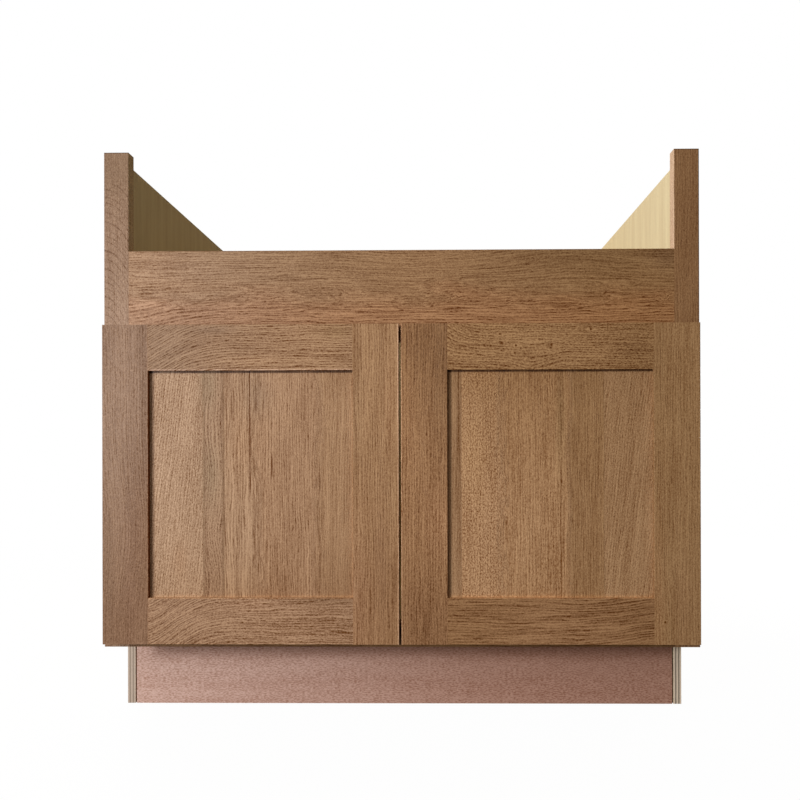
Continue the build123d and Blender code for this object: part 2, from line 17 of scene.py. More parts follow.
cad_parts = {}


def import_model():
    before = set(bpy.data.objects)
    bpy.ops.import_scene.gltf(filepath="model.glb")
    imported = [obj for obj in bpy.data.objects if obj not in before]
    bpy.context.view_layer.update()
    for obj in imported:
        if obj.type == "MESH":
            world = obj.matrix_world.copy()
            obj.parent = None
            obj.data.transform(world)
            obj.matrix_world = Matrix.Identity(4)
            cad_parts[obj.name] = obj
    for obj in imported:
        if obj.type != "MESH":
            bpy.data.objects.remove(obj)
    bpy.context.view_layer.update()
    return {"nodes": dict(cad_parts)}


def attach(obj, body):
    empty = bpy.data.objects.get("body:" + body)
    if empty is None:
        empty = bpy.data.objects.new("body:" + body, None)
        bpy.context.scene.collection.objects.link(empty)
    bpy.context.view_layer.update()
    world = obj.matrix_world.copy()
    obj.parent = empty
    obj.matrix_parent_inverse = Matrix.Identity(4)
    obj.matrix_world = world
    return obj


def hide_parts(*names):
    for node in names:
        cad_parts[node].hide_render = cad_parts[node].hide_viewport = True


LOG = logging.getLogger("sink_base")
MM = 0.001

# A node's input takes a Value, and Levels are heights, each with a turn in degrees.
Colour = tuple[float, float, float]
Value = "Wire | float | tuple[float, ...]"
Levels = Iterable[tuple[float, float]]

WHITE: Colour = (1.0, 1.0, 1.0)


def colour(code: str) -> Colour:
    """Turns a paint code into linear colour.

    Args:
        code: six hexadecimal digits, two each for red, green and blue as a screen shows them.

    Returns:
        The linear red, green and blue.
    """
    shares = [int(code[start : start + 2], 16) / 255 for start in (0, 2, 4)]
    return tuple(s / 12.92 if s <= 0.04045 else ((s + 0.055) / 1.055) ** 2.4 for s in shares)


def scaled(tone: Colour, *shares: float) -> Colour:
    """Multiplies a colour by one share, or by a share for each channel."""
    each = shares * 3 if len(shares) == 1 else shares
    return tuple(channel * share for channel, share in zip(tone, each))


# ------------------------------------------------------------------------ shader maths
@dataclass(frozen=True)
class Wire:
    """A node's output, used in expressions as a number, a vector or a colour.

    Attributes:
        nodes: the node tree that it belongs to.
        socket: the output.
    """

    nodes: "Nodes"
    socket: bpy.types.NodeSocket

    def _with(self, operation: str, left: Value, right: Value) -> "Wire":
        """Adds the node for an operator.

        Args:
            operation: the name of the Math or Vector Math operation.
            left: the first operand.
            right: the second operand.

        Returns:
            The node's output.
        """
        pair = (left, right)
        plain = all(not isinstance(v, tuple) for v in pair) and all(
            v.socket.type == "VALUE" for v in pair if isinstance(v, Wire)
        )
        kind = "ShaderNodeMath" if plain else "ShaderNodeVectorMath"
        return self.nodes.node(kind, {"operation": operation}, pair)

    def __add__(self, other: Value) -> "Wire":
        """Wire + other."""
        return self._with("ADD", self, other)

    def __radd__(self, other: Value) -> "Wire":
        """Other + wire."""
        return self._with("ADD", other, self)

    def __sub__(self, other: Value) -> "Wire":
        """Wire - other."""
        return self._with("SUBTRACT", self, other)

    def __rsub__(self, other: Value) -> "Wire":
        """Other - wire."""
        return self._with("SUBTRACT", other, self)

    def __mul__(self, other: Value) -> "Wire":
        """Wire * other."""
        return self._with("MULTIPLY", self, other)

    def __rmul__(self, other: Value) -> "Wire":
        """Other * wire."""
        return self._with("MULTIPLY", other, self)

    def __truediv__(self, other: Value) -> "Wire":
        """Wire / other."""
        return self._with("DIVIDE", self, other)

    def __rtruediv__(self, other: Value) -> "Wire":
        """Other / wire."""
        return self._with("DIVIDE", other, self)

    def __abs__(self) -> "Wire":
        """The wire's number without its sign."""
        return self.math("ABSOLUTE")

    def math(self, operation: str) -> "Wire":
        """Passes the wire's number through a Math node."""
        return self.nodes.node("ShaderNodeMath", {"operation": operation}, (self,))

    def spanned(self, other: "Wire") -> "Wire":
        """The longest side of the right triangle over two numbers."""
        return (self * self + other * other).math("SQRT")

    def over(self, low: float, high: float) -> "Wire":
        """A smooth step from 0 at low to 1 at high."""
        settings = {"interpolation_type": "SMOOTHSTEP"}
        return self.nodes.node("ShaderNodeMapRange", settings, (self, low, high, 0.0, 1.0))

    def under(self, low: float, high: float) -> "Wire":
        """A smooth step from 1 at low to 0 at high."""
        return 1 - self.over(low, high)


class Nodes:
    """A node tree in the making."""

    def __init__(self, tree: bpy.types.NodeTree) -> None:
        """Empties the tree."""
        self.tree = tree
        self.tree.nodes.clear()

    def node(
        self,
        kind: str,
        settings: Mapping[str, object] | None = None,
        inputs: Sequence[Value] | Mapping[str | int, Value] = (),
        output: int | str = 0,
    ) -> Wire:
        """Adds any node that has an output.

        Args:
            kind: the node's type name.
            settings: what is set on the node before its sockets.
            inputs: values or wires, by socket name or number, or in order.
            output: the output that is wanted.

        Returns:
            That output.
        """
        made = self.tree.nodes.new(kind)
        for key, value in (settings or {}).items():
            setattr(made, key, value)
        pairs = inputs.items() if isinstance(inputs, Mapping) else enumerate(inputs)
        for key, value in pairs:
            self.plug(made.inputs[key], value)
        return Wire(self, made.outputs[output])

    def plug(self, socket: bpy.types.NodeSocket, value: Value) -> None:
        """Links a wire to an input, or sets a number, vector or colour on it.

        Args:
            socket: the input.
            value: what goes in.
        """
        if isinstance(value, Wire):
            self.tree.links.new(value.socket, socket)
        elif socket.type == "VECTOR" and not isinstance(value, tuple):
            socket.default_value = (value, value, value)
        elif socket.type == "RGBA":
            socket.default_value = (*value, 1.0)
        else:
            socket.default_value = value


class Shader(Nodes):
    """A material in the making, with the nodes that its finish asks for."""

    def __init__(self, name: str) -> None:
        """Starts an empty material with a Principled surface.

        Args:
            name: the material's name.
        """
        self.material = bpy.data.materials.new(name)
        self.material.use_nodes = True
        super().__init__(self.material.node_tree)
        self.surface = self.tree.nodes.new("ShaderNodeBsdfPrincipled")
        self.end = self.tree.nodes.new("ShaderNodeOutputMaterial").inputs["Surface"]
        self.plug(self.end, Wire(self, self.surface.outputs[0]))

    @cached_property
    def place(self) -> tuple[Wire, Wire, Wire]:
        """The point's X, Y and Z on the piece, in metres."""
        return self._split("Object")

    @cached_property
    def facing(self) -> tuple[Wire, Wire, Wire]:
        """The X, Y and Z of the face's outward direction, on the piece."""
        return self._split("Normal")

    def _split(self, output: str) -> tuple[Wire, Wire, Wire]:
        """The three parts of one of the piece's own coordinates.

        Args:
            output: the coordinate's name.

        Returns:
            Its X, Y and Z.
        """
        vector = self.node("ShaderNodeTexCoord", output=output)
        first = self.node("ShaderNodeSeparateXYZ", inputs=(vector,))
        return tuple(Wire(self, part) for part in first.socket.node.outputs)

    def noise(self, point: Sequence[Value], detail: float = 2.0, rough: float = 0.5) -> Wire:
        """Smooth noise about zero, one cell to a unit of the point's numbers.

        Args:
            point: three numbers that vary over the piece.
            detail: how many finer layers are added.
            rough: how strong the finer layers are.

        Returns:
            A number from about -0.5 to 0.5.
        """
        vector = self.node("ShaderNodeCombineXYZ", inputs=tuple(point))
        inputs = {"Vector": vector, "Scale": 1.0, "Detail": detail, "Roughness": rough}
        return self.node("ShaderNodeTexNoise", {}, inputs) - 0.5

    def mix(self, share: Value, first: Value, second: Value) -> Wire:
        """Blends two colours, from the first at a share of 0 to the second at 1."""
        settings = {"data_type": "RGBA", "clamp_factor": True}
        return self.node("ShaderNodeMix", settings, {0: share, 6: first, 7: second}, 2)

    def toned(self, tone: Value, share: Wire, gain: Colour) -> Wire:
        """Multiplies a tone by a gain as far as a share says."""
        return tone * self.mix(share, WHITE, gain)

    def finish(
        self,
        base: Value,
        rough: Value,
        height: Wire | None = None,
        depth: float = 0.0,
        **fixed: float,
    ) -> bpy.types.Material:
        """Plugs the surface together.

        Args:
            base: the base colour.
            rough: the roughness.
            height: a relief from 0 to 1, or nothing for a smooth surface.
            depth: how deep the relief is, in metres.
            fixed: numbers for further sockets of the surface, by name with _ for a space.

        Returns:
            The material.
        """
        self.plug(self.surface.inputs["Base Color"], base)
        self.plug(self.surface.inputs["Roughness"], rough)
        if height is not None:
            inputs = {"Strength": 1.0, "Distance": depth, "Height": height}
            self.plug(self.surface.inputs["Normal"], self.node("ShaderNodeBump", {}, inputs))
        for name, value in fixed.items():
            self.plug(self.surface.inputs[name.replace("_", " ")], value)
        return self.material


# ------------------------------------------------------------------------ boards
class Grain(Enum):
    """How a board lies: the axes along the grain, across its face and through the board."""

    UPRIGHT = (2, 0, 1)
    LEVEL = (0, 2, 1)
    UPRIGHT_SIDE = (2, 1, 0)
    FLAT = (0, 1, 2)


@dataclass(frozen=True)
class Weave:
    """How a noise lies on a board.

    Attributes:
        along: its cells to the metre along the grain.
        across: its cells to the metre across the grain.
        detail: how many finer layers are added.
        rough: how strong the finer layers are.
    """

    along: float
    across: float
    detail: float = 2.0
    rough: float = 0.5


class BoardShader(Shader):
    """A board's material in the making, with the point's place in the board.

    A face looks along an axis where its direction's part along it passes SQUARE_ON, or WITH_ARRIS
    where the eased edges count with it.
    """

    SQUARE_ON = (0.6, 0.8)
    WITH_ARRIS = (0.4, 0.6)

    def __init__(self, name: str, grain: Grain) -> None:
        """Starts the material.

        Args:
            name: the material's name.
            grain: how the board lies.
        """
        super().__init__(name)
        self.run, self.side, self.depth = grain.value
        self.along, self.across, self.through = (self.place[axis] for axis in grain.value)

    def sheet(self, weave: Weave, aside: Wire, layer: Value) -> Wire:
        """Noise along the grain, with a sheet of its own for each layer."""
        point = (self.along * weave.along, aside * weave.across, layer)
        return self.noise(point, weave.detail, weave.rough)

    def block(self, weave: Weave, aside: Wire, seed: Value = 0.0) -> Wire:
        """Noise along the grain that goes on through the board."""
        return self.sheet(weave, aside, self.through * weave.across + seed)

    def spot(self, along: float, across: float | None, length: float, width: float) -> Wire:
        """A soft spot of 1 in the middle of a place on the board.

        Args:
            along: the middle, along the grain.
            across: the middle, across the grain, or nothing for the whole width.
            length: how far it reaches along the grain.
            width: how far it reaches across the grain.

        Returns:
            The spot, from 0 to 1.
        """
        down = (self.along - along) * (1 / length)
        far = down * down
        if across is not None:
            side = (self.across - across) * (1 / width)
            far = far + side * side
        return (0 - far).math("EXPONENT")


@dataclass(frozen=True)
class Leaf:
    """One strip in a board's face, from its start to the next strip's.

    Attributes:
        tone: the strip's mean colour.
        start: where the strip begins, across the grain, in metres.
        blend: half the width over which it takes over from the strip before.
        slant: sideways run of the grain for each metre along it.
        dash: how strongly the rows of pores show.
        length: the length of a dash in a row, in metres.
        fleck: how strongly short flecks show.
        streak: how strongly the long fibres show.
        band: how strongly broad stripes show.
    """

    tone: Colour
    start: float = 0.0
    blend: float = 0.4 * MM
    slant: float = 0.0
    dash: float = 1.0
    length: float = 6.0 * MM
    fleck: float = 0.4
    streak: float = 0.6
    band: float = 0.3


@dataclass(frozen=True)
class Years:
    """The years' lines where the saw has left them to be seen.

    Attributes:
        ring: the mean width of a year's growth, in metres.
        heart: where the tree's heart passes, as (across, behind the face), in metres.
        climb: how fast the heart falls away behind the face along the grain.
        depth: how dark the lines are.
        end: how far along the grain they can be seen.
    """

    ring: float
    heart: tuple[float, float]
    climb: float
    depth: float
    end: float


@dataclass(frozen=True)
class Bow:
    """A place where the grain bends aside.

    Attributes:
        along: its place along the grain, in metres.
        reach: how far it is felt along the grain.
        rise: how far it moves the grain sideways.
        across: its place across the grain, or nothing where it takes in the whole width.
        spread: how far it is felt across the grain.
    """

    along: float
    reach: float
    rise: float
    across: float | None = None
    spread: float = 30 * MM


@dataclass(frozen=True)
class Streak:
    """A dark mineral line along the grain.

    Attributes:
        across: its place across the grain, in metres.
        low: where it starts along the grain.
        high: where it ends.
        width: half its width.
        depth: how dark it is.
    """

    across: float
    low: float
    high: float
    width: float
    depth: float


@dataclass(frozen=True)
class Knot:
    """A pin knot that the grain flows round, within SWIRL along and across it.

    Attributes:
        along: its place along the grain, in metres.
        across: its place across the grain.
        size: the radius of its eye.
    """

    along: float
    across: float
    size: float = 1.1 * MM

    SWIRL = (9 * MM, 5 * MM)
    DARK = 1.9


@dataclass(frozen=True)
class Patch:
    """A soft place where the stain took lighter or darker; on the apron's ends partly a painted
    tint of the light.

    Attributes:
        along: its place along the grain, in metres.
        across: its place across the grain.
        length: how far it reaches along the grain.
        width: how far it reaches across the grain.
        gain: what it multiplies the tone by in its middle.
    """

    along: float
    across: float
    length: float
    width: float
    gain: Colour


@dataclass(frozen=True)
class Rim:
    """A line along a board's edge: a painted highlight where the edge catches light, partly real
    edge wear, and painted shade where a recess or an edge lies in shadow.

    Attributes:
        lengthwise: whether it runs along the grain.
        place: its place, across the grain or along it, in metres.
        width: how far it reaches.
        gain: what it multiplies the tone by.
        fade: the share of its width from which it fades.
    """

    lengthwise: bool
    place: float
    width: float
    gain: Colour
    fade: float = 0.3

    # The first two paint highlights along edges, partly edge wear; the last two paint shadow.
    WORN_HIGHLIGHT = (1.55, 1.68, 2.05)
    RUBBED_HIGHLIGHT = (1.22, 1.2, 1.14)
    PAINTED_SHADE = (0.6, 0.54, 0.48)
    PAINTED_DEEP_SHADE = (0.24, 0.17, 0.12)


@dataclass(frozen=True)
class Oak:
    """Stained and lacquered oak, with pores, fibres, knots and patches, and painted highlights and
    painted shade along its edges, the highlights partly edge wear.

    Attributes:
        name: the material's name.
        grain: how the board lies.
        leaves: the strips in its face, from low to high.
        seed: a number that makes the board its own.
        wander: how far the grain strays sideways, in metres.
        fibre_width: the width of a long fibre, in metres.
        years: the years' lines, where they show.
        bows: places where the grain bends.
        streaks: dark lines.
        knots: pin knots.
        patches: lighter and darker places.
        rims: painted highlights and painted shade along edges, the highlights partly edge wear.
        low_side: what the tone is multiplied by on the side that faces down across the grain; on
            the doors' top rails this paints shade on the undersides.
        high_side: the same on the side that faces up across the grain; on the doors' bottom rails
            this paints a highlight on the upper faces, and on the walls beside the panels it paints
            shade.
    """

    name: str
    grain: Grain
    leaves: tuple[Leaf, ...]
    seed: float
    wander: float = 3.0 * MM
    fibre_width: float = 2.4 * MM
    years: Years | None = None
    bows: tuple[Bow, ...] = ()
    streaks: tuple[Streak, ...] = ()
    knots: tuple[Knot, ...] = ()
    patches: tuple[Patch, ...] = ()
    rims: tuple[Rim, ...] = ()
    low_side: Colour = (0.9, 0.88, 0.86)
    high_side: Colour = (0.9, 0.88, 0.86)

    def material(self) -> bpy.types.Material:
        """Builds the board's material."""
        return OakShader(self).build()


class OakShader(BoardShader):
    """An oak board's material in the making.

    LIGHT and DARK are the ends of the board's tones, as shares of the strip's own. PORES to SPECKS
    say how far each feature moves a point from one towards the other, and a Weave how it lies.
    """

    LIGHT = (1.42, 1.56, 1.76)
    DARK = (0.36, 0.19, 0.0)
    END_GRAIN = (0.62, 0.58, 0.54)
    MEAN_SHARE = 0.4
    RELIEF = 0.5 * MM

    PORES, LATE_WOOD, FLECKS, FIBRES = 0.56, 0.36, 1.5, 1.25
    CLOUDS, SPECKS = 0.4, 0.75
    YEAR = 4.0 * MM
    CROWDING = 3.2
    SOFT_CHANGE = 5.0 * MM
    STREAK_END = 20 * MM
    YEARS_END = 10 * MM

    PORES_AT, LATE_AT = 0.33, 0.74
    SLOPE = 0.8
    ROW_APART, ROW_START = 3.7, 0.31
    YEAR_RISE, YEAR_FALL = (0.74, 0.9), (0.92, 1.0)
    BEND = Weave(3.2, 9.0, 1.0)
    RIPPLE = Weave(34.0, 48.0)
    STRAY = Weave(8.0, 25.0)
    CROWD = Weave(9.0, 60.0, 2.0, 0.6)
    BAND = Weave(3.0, 62.0)
    SPECK = Weave(600.0, 800.0, 1.0)
    FLECK = Weave(360.0, 560.0, 1.0)
    CLOUD = Weave(7.0, 22.0)
    YEAR_GAP = Weave(60.0, 90.0, 1.0)
    FIBRE_RATE = 14.0
    RIM_RATE = 30.0

    def __init__(self, oak: Oak) -> None:
        """Lays out the strips and the run of the grain.

        Args:
            oak: what the board looks like.
        """
        super().__init__(oak.name, oak.grain)
        self.oak = oak
        self.steps = self._steps()
        self.seed = self._pick([oak.seed + 7.3 * number for number in range(len(oak.leaves))])
        self.course = self._course()

    def build(self) -> bpy.types.Material:
        """Builds the board's material.

        Returns:
            The material.
        """
        course, seed = self.course, self.seed
        fibre = self.block(Weave(self.FIBRE_RATE, 1 / self.oak.fibre_width, 2.0, 0.6), course, seed)
        band = self.block(self.BAND, course, seed)
        speck = self.block(self.SPECK, self.across)
        fleck = self.block(self.FLECK, course, seed)
        cloud = self.block(self.CLOUD, self.across, seed)
        early, late = self._rows()

        share = early * self._trait("dash", self.PORES) - late * self._trait("dash", self.LATE_WOOD)
        share = share + fleck * self._trait("fleck", self.FLECKS)
        share = share + fibre * self._trait("streak", self.FIBRES)
        share = share + band * self._trait("band") + cloud * self.CLOUDS + speck * self.SPECKS
        if self.oak.years:
            share = share + self._years(self.oak.years)
        for streak in self.oak.streaks:
            share = share + self._streak(streak)
        for knot in self.oak.knots:
            share = share + self.spot(knot.along, knot.across, knot.size, knot.size) * knot.DARK
        base = self.mix(share + self.MEAN_SHARE, *self._tones())
        rough = early * 0.12 + fibre * 0.1 + 0.5
        height = 0.6 - early * 0.4 - fibre * 0.5 - fleck * 0.4 - speck * 0.3
        return self.finish(base, rough, height, self.RELIEF, Specular_IOR_Level=0.2)

    def _steps(self) -> list[Wire]:
        """Where each further strip begins: straight at a glued joint, wandering at a soft change.

        Returns:
            A step from 0 to 1 at the start of each strip but the first.
        """
        steps = []
        for leaf in self.oak.leaves[1:]:
            place = self.across
            if leaf.blend > self.SOFT_CHANGE:
                stray = self.sheet(self.STRAY, self.across, self.oak.seed + leaf.start)
                place = self.across + stray * (3 * leaf.blend)
            steps.append(place.over(leaf.start - leaf.blend, leaf.start + leaf.blend))
        return steps

    def _pick(self, values: Sequence[Value]) -> Value:
        """The value of the strip that the point lies in.

        Args:
            values: one number or colour for each strip.

        Returns:
            The value, changing at each start.
        """
        chosen = values[0]
        for step, before, after in zip(self.steps, values, values[1:]):
            if isinstance(after, tuple):
                gain = tuple(b - a for a, b in zip(before, after))
            else:
                gain = after - before
            if gain not in (0, (0, 0, 0)):
                chosen = step * gain + chosen
        return chosen

    def _trait(self, trait: str, weight: float = 1.0) -> Value:
        """One of the strip's numbers, weighted."""
        return self._pick([weight * getattr(leaf, trait) for leaf in self.oak.leaves])

    def _course(self) -> Wire:
        """The place across the grain's own run, constant along each fibre.

        Returns:
            The place, in metres.
        """
        oak = self.oak
        bend = self.block(self.BEND, self.across, self.seed)
        ripple = self.block(self.RIPPLE, self.across, self.seed)
        course = self.across + bend * (3 * oak.wander) + ripple * oak.wander
        if any(leaf.slant for leaf in oak.leaves):
            course = course + self.along * self._trait("slant")
        for bow in oak.bows:
            course = course + self.spot(bow.along, bow.across, bow.reach, bow.spread) * bow.rise
        for knot in oak.knots:
            near = self.spot(knot.along, knot.across, *knot.SWIRL)
            course = course - (self.across - knot.across) * near
        return course

    def _rows(self) -> tuple[Wire, Wire]:
        """The years as rows: open pores in broken dashes, each with smooth late wood beside it.

        Returns:
            The pores' share and the late wood's share, each from 0 to 1.
        """
        crowding = self.block(self.CROWD, self.course, self.seed) * self.CROWDING
        rows = (self.course + self.through * self.SLOPE) / self.YEAR + crowding
        index = rows.math("FLOOR")
        part = rows - index
        rate = self._pick([1 / leaf.length for leaf in self.oak.leaves])
        own = index * self.ROW_APART + self.ROW_START
        broken = self.noise((self.along * rate, own, self.seed), 2.0, 0.7).over(-0.14, 0.16)
        early = abs(part - self.PORES_AT).under(0.05, 0.27) * broken
        late = abs(part - self.LATE_AT).under(0.03, 0.2) * (broken * 0.6 + 0.4)
        return early, late

    def _tones(self) -> tuple[Wire, Wire]:
        """The tone at a point, as its lightest and its darkest.

        Returns:
            The lightest tone and the darkest tone.
        """
        oak = self.oak
        tone = self._pick([leaf.tone for leaf in oak.leaves])
        for patch in oak.patches:
            inside = self.spot(patch.along, patch.across, patch.length, patch.width)
            tone = self.toned(tone, inside, patch.gain)
        on_face = abs(self.facing[self.depth]).over(*self.WITH_ARRIS)
        # Painted highlights and painted shade along the edges, the highlights partly edge wear.
        for rim in oak.rims:
            tone = self.toned(tone, self._rim(rim) * on_face, rim.gain)
        lean, end = self.facing[self.side], abs(self.facing[self.run])
        tone = self.toned(tone, end.over(*self.SQUARE_ON), self.END_GRAIN)
        # The sides facing down and up: on some boards painted shade or a painted highlight for how
        # light falls on them.
        tone = self.toned(tone, (0 - lean).over(*self.SQUARE_ON), oak.low_side)
        tone = self.toned(tone, lean.over(*self.SQUARE_ON), oak.high_side)
        return tone * self.LIGHT, tone * self.DARK

    def _years(self, years: Years) -> Wire:
        """The dark of the years' lines.

        Args:
            years: where they lie.

        Returns:
            How dark the lines make the point.
        """
        behind = self.through + self.along * years.climb + years.heart[1]
        radius = (self.course - years.heart[0]).spanned(behind)
        lean = self.noise((radius * (0.35 / years.ring), 0.0, self.oak.seed), 1.0)
        phase = (radius * (1 / years.ring) + lean * 1.6).math("FRACT")
        line = phase.over(*self.YEAR_RISE) - phase.over(*self.YEAR_FALL)
        broken = self.sheet(self.YEAR_GAP, self.course, self.oak.seed).over(-0.2, 0.15)
        shown = self.along.under(years.end - self.YEARS_END, years.end + self.YEARS_END)
        return (line * shown * (broken * 0.6 + 0.4) - 0.12) * years.depth

    def _streak(self, streak: Streak) -> Wire:
        """The dark of one mineral line.

        Args:
            streak: the line.

        Returns:
            How dark the line makes the point.
        """
        body = abs(self.course - streak.across).under(streak.width * 0.3, streak.width)
        start = self.along.over(streak.low - self.STREAK_END, streak.low + self.STREAK_END)
        end = self.along.under(streak.high - self.STREAK_END, streak.high + self.STREAK_END)
        return body * start * end * streak.depth

    def _rim(self, rim: Rim) -> Wire:
        """How much of an edge's painted highlight or painted shade shows, the highlights partly
        edge wear.

        Args:
            rim: the edge.

        Returns:
            Its share, from 0 to 1.
        """
        run, side = self.along, self.across
        if not rim.lengthwise:
            run, side = side, run
        patchy = self.noise((run * self.RIM_RATE, rim.place * 50.0, self.oak.seed), 2.0)
        shown = patchy.over(-0.25, 0.1) * 0.3 + 0.7
        return abs(side - rim.place).under(rim.width * rim.fade, rim.width) * shown


@dataclass(frozen=True)
class Plywood:
    """Plywood: a veneered face, and layered plies on its edges, with grit and small voids.

    Attributes:
        name: the material's name.
        grain: how the face veneer lies.
        face: the veneer's mean colour.
        plies: how many layers the board has.
        thickness: the board's thickness, in metres.
        middle: the place of the board's middle through its thickness.
        core: the colours of the light and the dark plies on an edge.
        seed: a number that makes the board its own.
        figure: how strongly the veneer's broad figure shows.
        dashes: how strongly short pores show on the face.
        dash_length: the length of a pore, in metres.
        far_drift_and_shade: what the face is multiplied by at the right-hand end: partly the
            board's own colour drift, partly painted shade and warmth for the light falling off to
            the right.
        shaded_top: the Z of an upper edge under which a painted shadow darkens the face, as painted
            shade also darkens it at the ends, or nothing.
        half_span: how far such a board reaches to each side.
    """

    name: str
    grain: Grain
    face: Colour
    plies: int
    thickness: float
    middle: float
    core: tuple[Colour, Colour] = (colour("cfc0a2"), colour("8f7a5e"))
    seed: float = 0.0
    figure: float = 0.12
    dashes: float = 0.1
    dash_length: float = 6.0 * MM
    far_drift_and_shade: Colour = WHITE
    shaded_top: float | None = None
    half_span: float = 0.0

    BEND = Weave(3.0, 7.0, 1.0)
    BROAD = Weave(3.5, 46.0, 3.0, 0.6)
    FINE = Weave(20.0, 650.0)
    GLINT = Weave(60.0, 90.0)
    WAVE = Weave(30.0, 30.0)
    GRIT = Weave(700.0, 700.0)
    VOID = Weave(55.0, 55.0, 1.0)
    PORE_RATE = 640.0
    SWAY = 20.0 * MM
    LIGHT = (1.14, 1.19, 1.22)
    DARK = (0.68, 0.57, 0.49)
    # Painted shadow under the overhang at the board's upper edge.
    TOP_SHADE = (0.6, 0.54, 0.5)
    # Painted shade in the gaps where the board's ends meet the side panels.
    END_GAP_SHADE = (0.3, 0.24, 0.22)

    def material(self) -> bpy.types.Material:
        """Builds the board's material.

        Returns:
            The material.
        """
        s = BoardShader(self.name, self.grain)
        course = s.across + s.sheet(self.BEND, s.across, self.seed) * self.SWAY
        fine = s.sheet(self.FINE, course, self.seed)
        pores = Weave(1 / self.dash_length, self.PORE_RATE, 2.0, 0.6)
        dash = s.sheet(pores, course, self.seed)
        open_pore = dash.over(0.08, 0.25)
        share = s.sheet(self.BROAD, course, self.seed) * (self.figure * 2.2) + fine * self.figure
        share = share + dash * (self.dashes * 2) + open_pore * self.dashes
        share = share + s.sheet(self.GLINT, s.across, self.seed + 4) * (self.dashes * 0.4) + 0.4
        light, dark = scaled(self.face, *self.LIGHT), scaled(self.face, *self.DARK)
        tone = self._drift_and_shade(s, s.mix(share, light, dark))
        on_face = abs(s.facing[s.depth]).over(*s.SQUARE_ON)
        base = s.mix(on_face, self._edge(s), tone)
        height = 0.7 - open_pore * 0.6 + fine * 0.3
        return s.finish(base, fine * 0.12 + 0.55, height, 0.1 * MM, Specular_IOR_Level=0.3)

    def _drift_and_shade(self, s: BoardShader, tone: Wire) -> Wire:
        """The veneer's tone as it drifts along the board, partly painted shade towards the
        right-hand end, with painted shade at the upper edge and at the ends.

        Args:
            s: the shader.
            tone: the tone before the drift and the painted shade.

        Returns:
            The tone.
        """
        x, _, z = s.place
        # Darker and warmer towards the right-hand end: partly the board's own drift, partly painted
        # shade and warmth for the light falling off.
        tone = s.toned(tone, x.over(-0.45, 0.3), self.far_drift_and_shade)
        if self.shaded_top is None:
            return tone
        # Painted shadow under the overhanging doors and frame, fading down the face from the upper
        # edge, from just right of the left end.
        top_shade = z.over(self.shaded_top - 47 * MM, self.shaded_top - 28 * MM) * x.over(-0.425, -0.4)
        # Painted shade in the gaps at the board's ends.
        gap_shade = abs(x).over(self.half_span - 2.5 * MM, self.half_span - 1.2 * MM)
        return s.toned(s.toned(tone, top_shade, self.TOP_SHADE), gap_shade, self.END_GAP_SHADE)

    def _edge(self, s: BoardShader) -> Wire:
        """The colour of a cut edge, with its plies, grit and small voids.

        Args:
            s: the shader.

        Returns:
            The colour.
        """
        layer = (s.through - self.middle) * (self.plies / self.thickness) + self.plies / 2
        wave = s.sheet(self.WAVE, s.across, self.seed) * 0.25
        cross = ((layer + wave) * 0.5).math("FRACT")
        dark = cross.over(0.44, 0.52) - cross.over(0.94, 1.0)
        grit = s.sheet(self.GRIT, s.across, s.through * 900.0)
        void = s.sheet(self.VOID, s.across, layer.math("FLOOR") * 3.7).over(0.19, 0.25)
        light_ply, dark_ply = self.core
        edge = s.mix(dark * 0.85 + grit * 0.5, light_ply, dark_ply)
        return s.mix(void * dark, edge, scaled(dark_ply, 0.25))


@dataclass(frozen=True)
class Softwood:
    """Planed, bare softwood with wide years.

    Attributes:
        name: the material's name.
        grain: how the board lies.
        tone: its mean colour.
        seed: a number that makes the board its own.
        ring: the width of a year, in metres.
    """

    name: str
    grain: Grain
    tone: Colour = colour("d9bd8c")
    seed: float = 0.0
    ring: float = 5.0 * MM

    BEND = Weave(2.5, 8.0, 1.0)
    FIBRE = Weave(12.0, 700.0)
    SWAY = 50.0 * MM
    CLIMB, HEART = 0.05, 60.0 * MM
    DARK = (0.78, 0.62, 0.45)

    def material(self) -> bpy.types.Material:
        """Builds the board's material.

        Returns:
            The material.
        """
        s = BoardShader(self.name, self.grain)
        aside = s.across + s.sheet(self.BEND, s.across, self.seed) * self.SWAY
        radius = aside.spanned(s.through + s.along * self.CLIMB + self.HEART)
        phase = (radius * (1 / self.ring) + self.seed).math("FRACT")
        late = phase.over(0.45, 0.95) - phase.over(0.96, 1.0)
        fibre = s.block(self.FIBRE, aside)
        share = late * 0.6 + fibre * 0.5 + 0.12
        base = s.mix(share, scaled(self.tone, 1.1), scaled(self.tone, *self.DARK))
        return s.finish(base, fibre * 0.15 + 0.6, 0.6 - late * 0.2 + fibre * 0.4, 0.1 * MM)


# ------------------------------------------------------------------------ metal and plastic
@dataclass(frozen=True)
class PlatedSteel:
    """Plated steel with fine tumbling marks.

    Attributes:
        name: the material's name.
        tone: its colour.
        rough: its mean roughness.
    """

    name: str
    tone: Colour
    rough: float

    def material(self) -> bpy.types.Material:
        """Builds the plating's material.

        Returns:
            The material.
        """
        s = Shader(self.name)
        x, y, z = s.place
        marks = s.noise((x * 900.0, y * 900.0, z * 2400.0), 3.0, 0.6)
        haze = s.noise((x * 120.0, y * 120.0, z * 120.0))
        share = marks * 0.5 + haze * 0.6 + 0.4
        base = s.mix(share, scaled(self.tone, 1.08), scaled(self.tone, 0.8))
        rough = marks * 0.2 + haze * 0.15 + self.rough
        return s.finish(base, rough, marks + 0.5, 0.02 * MM, Metallic=1.0)


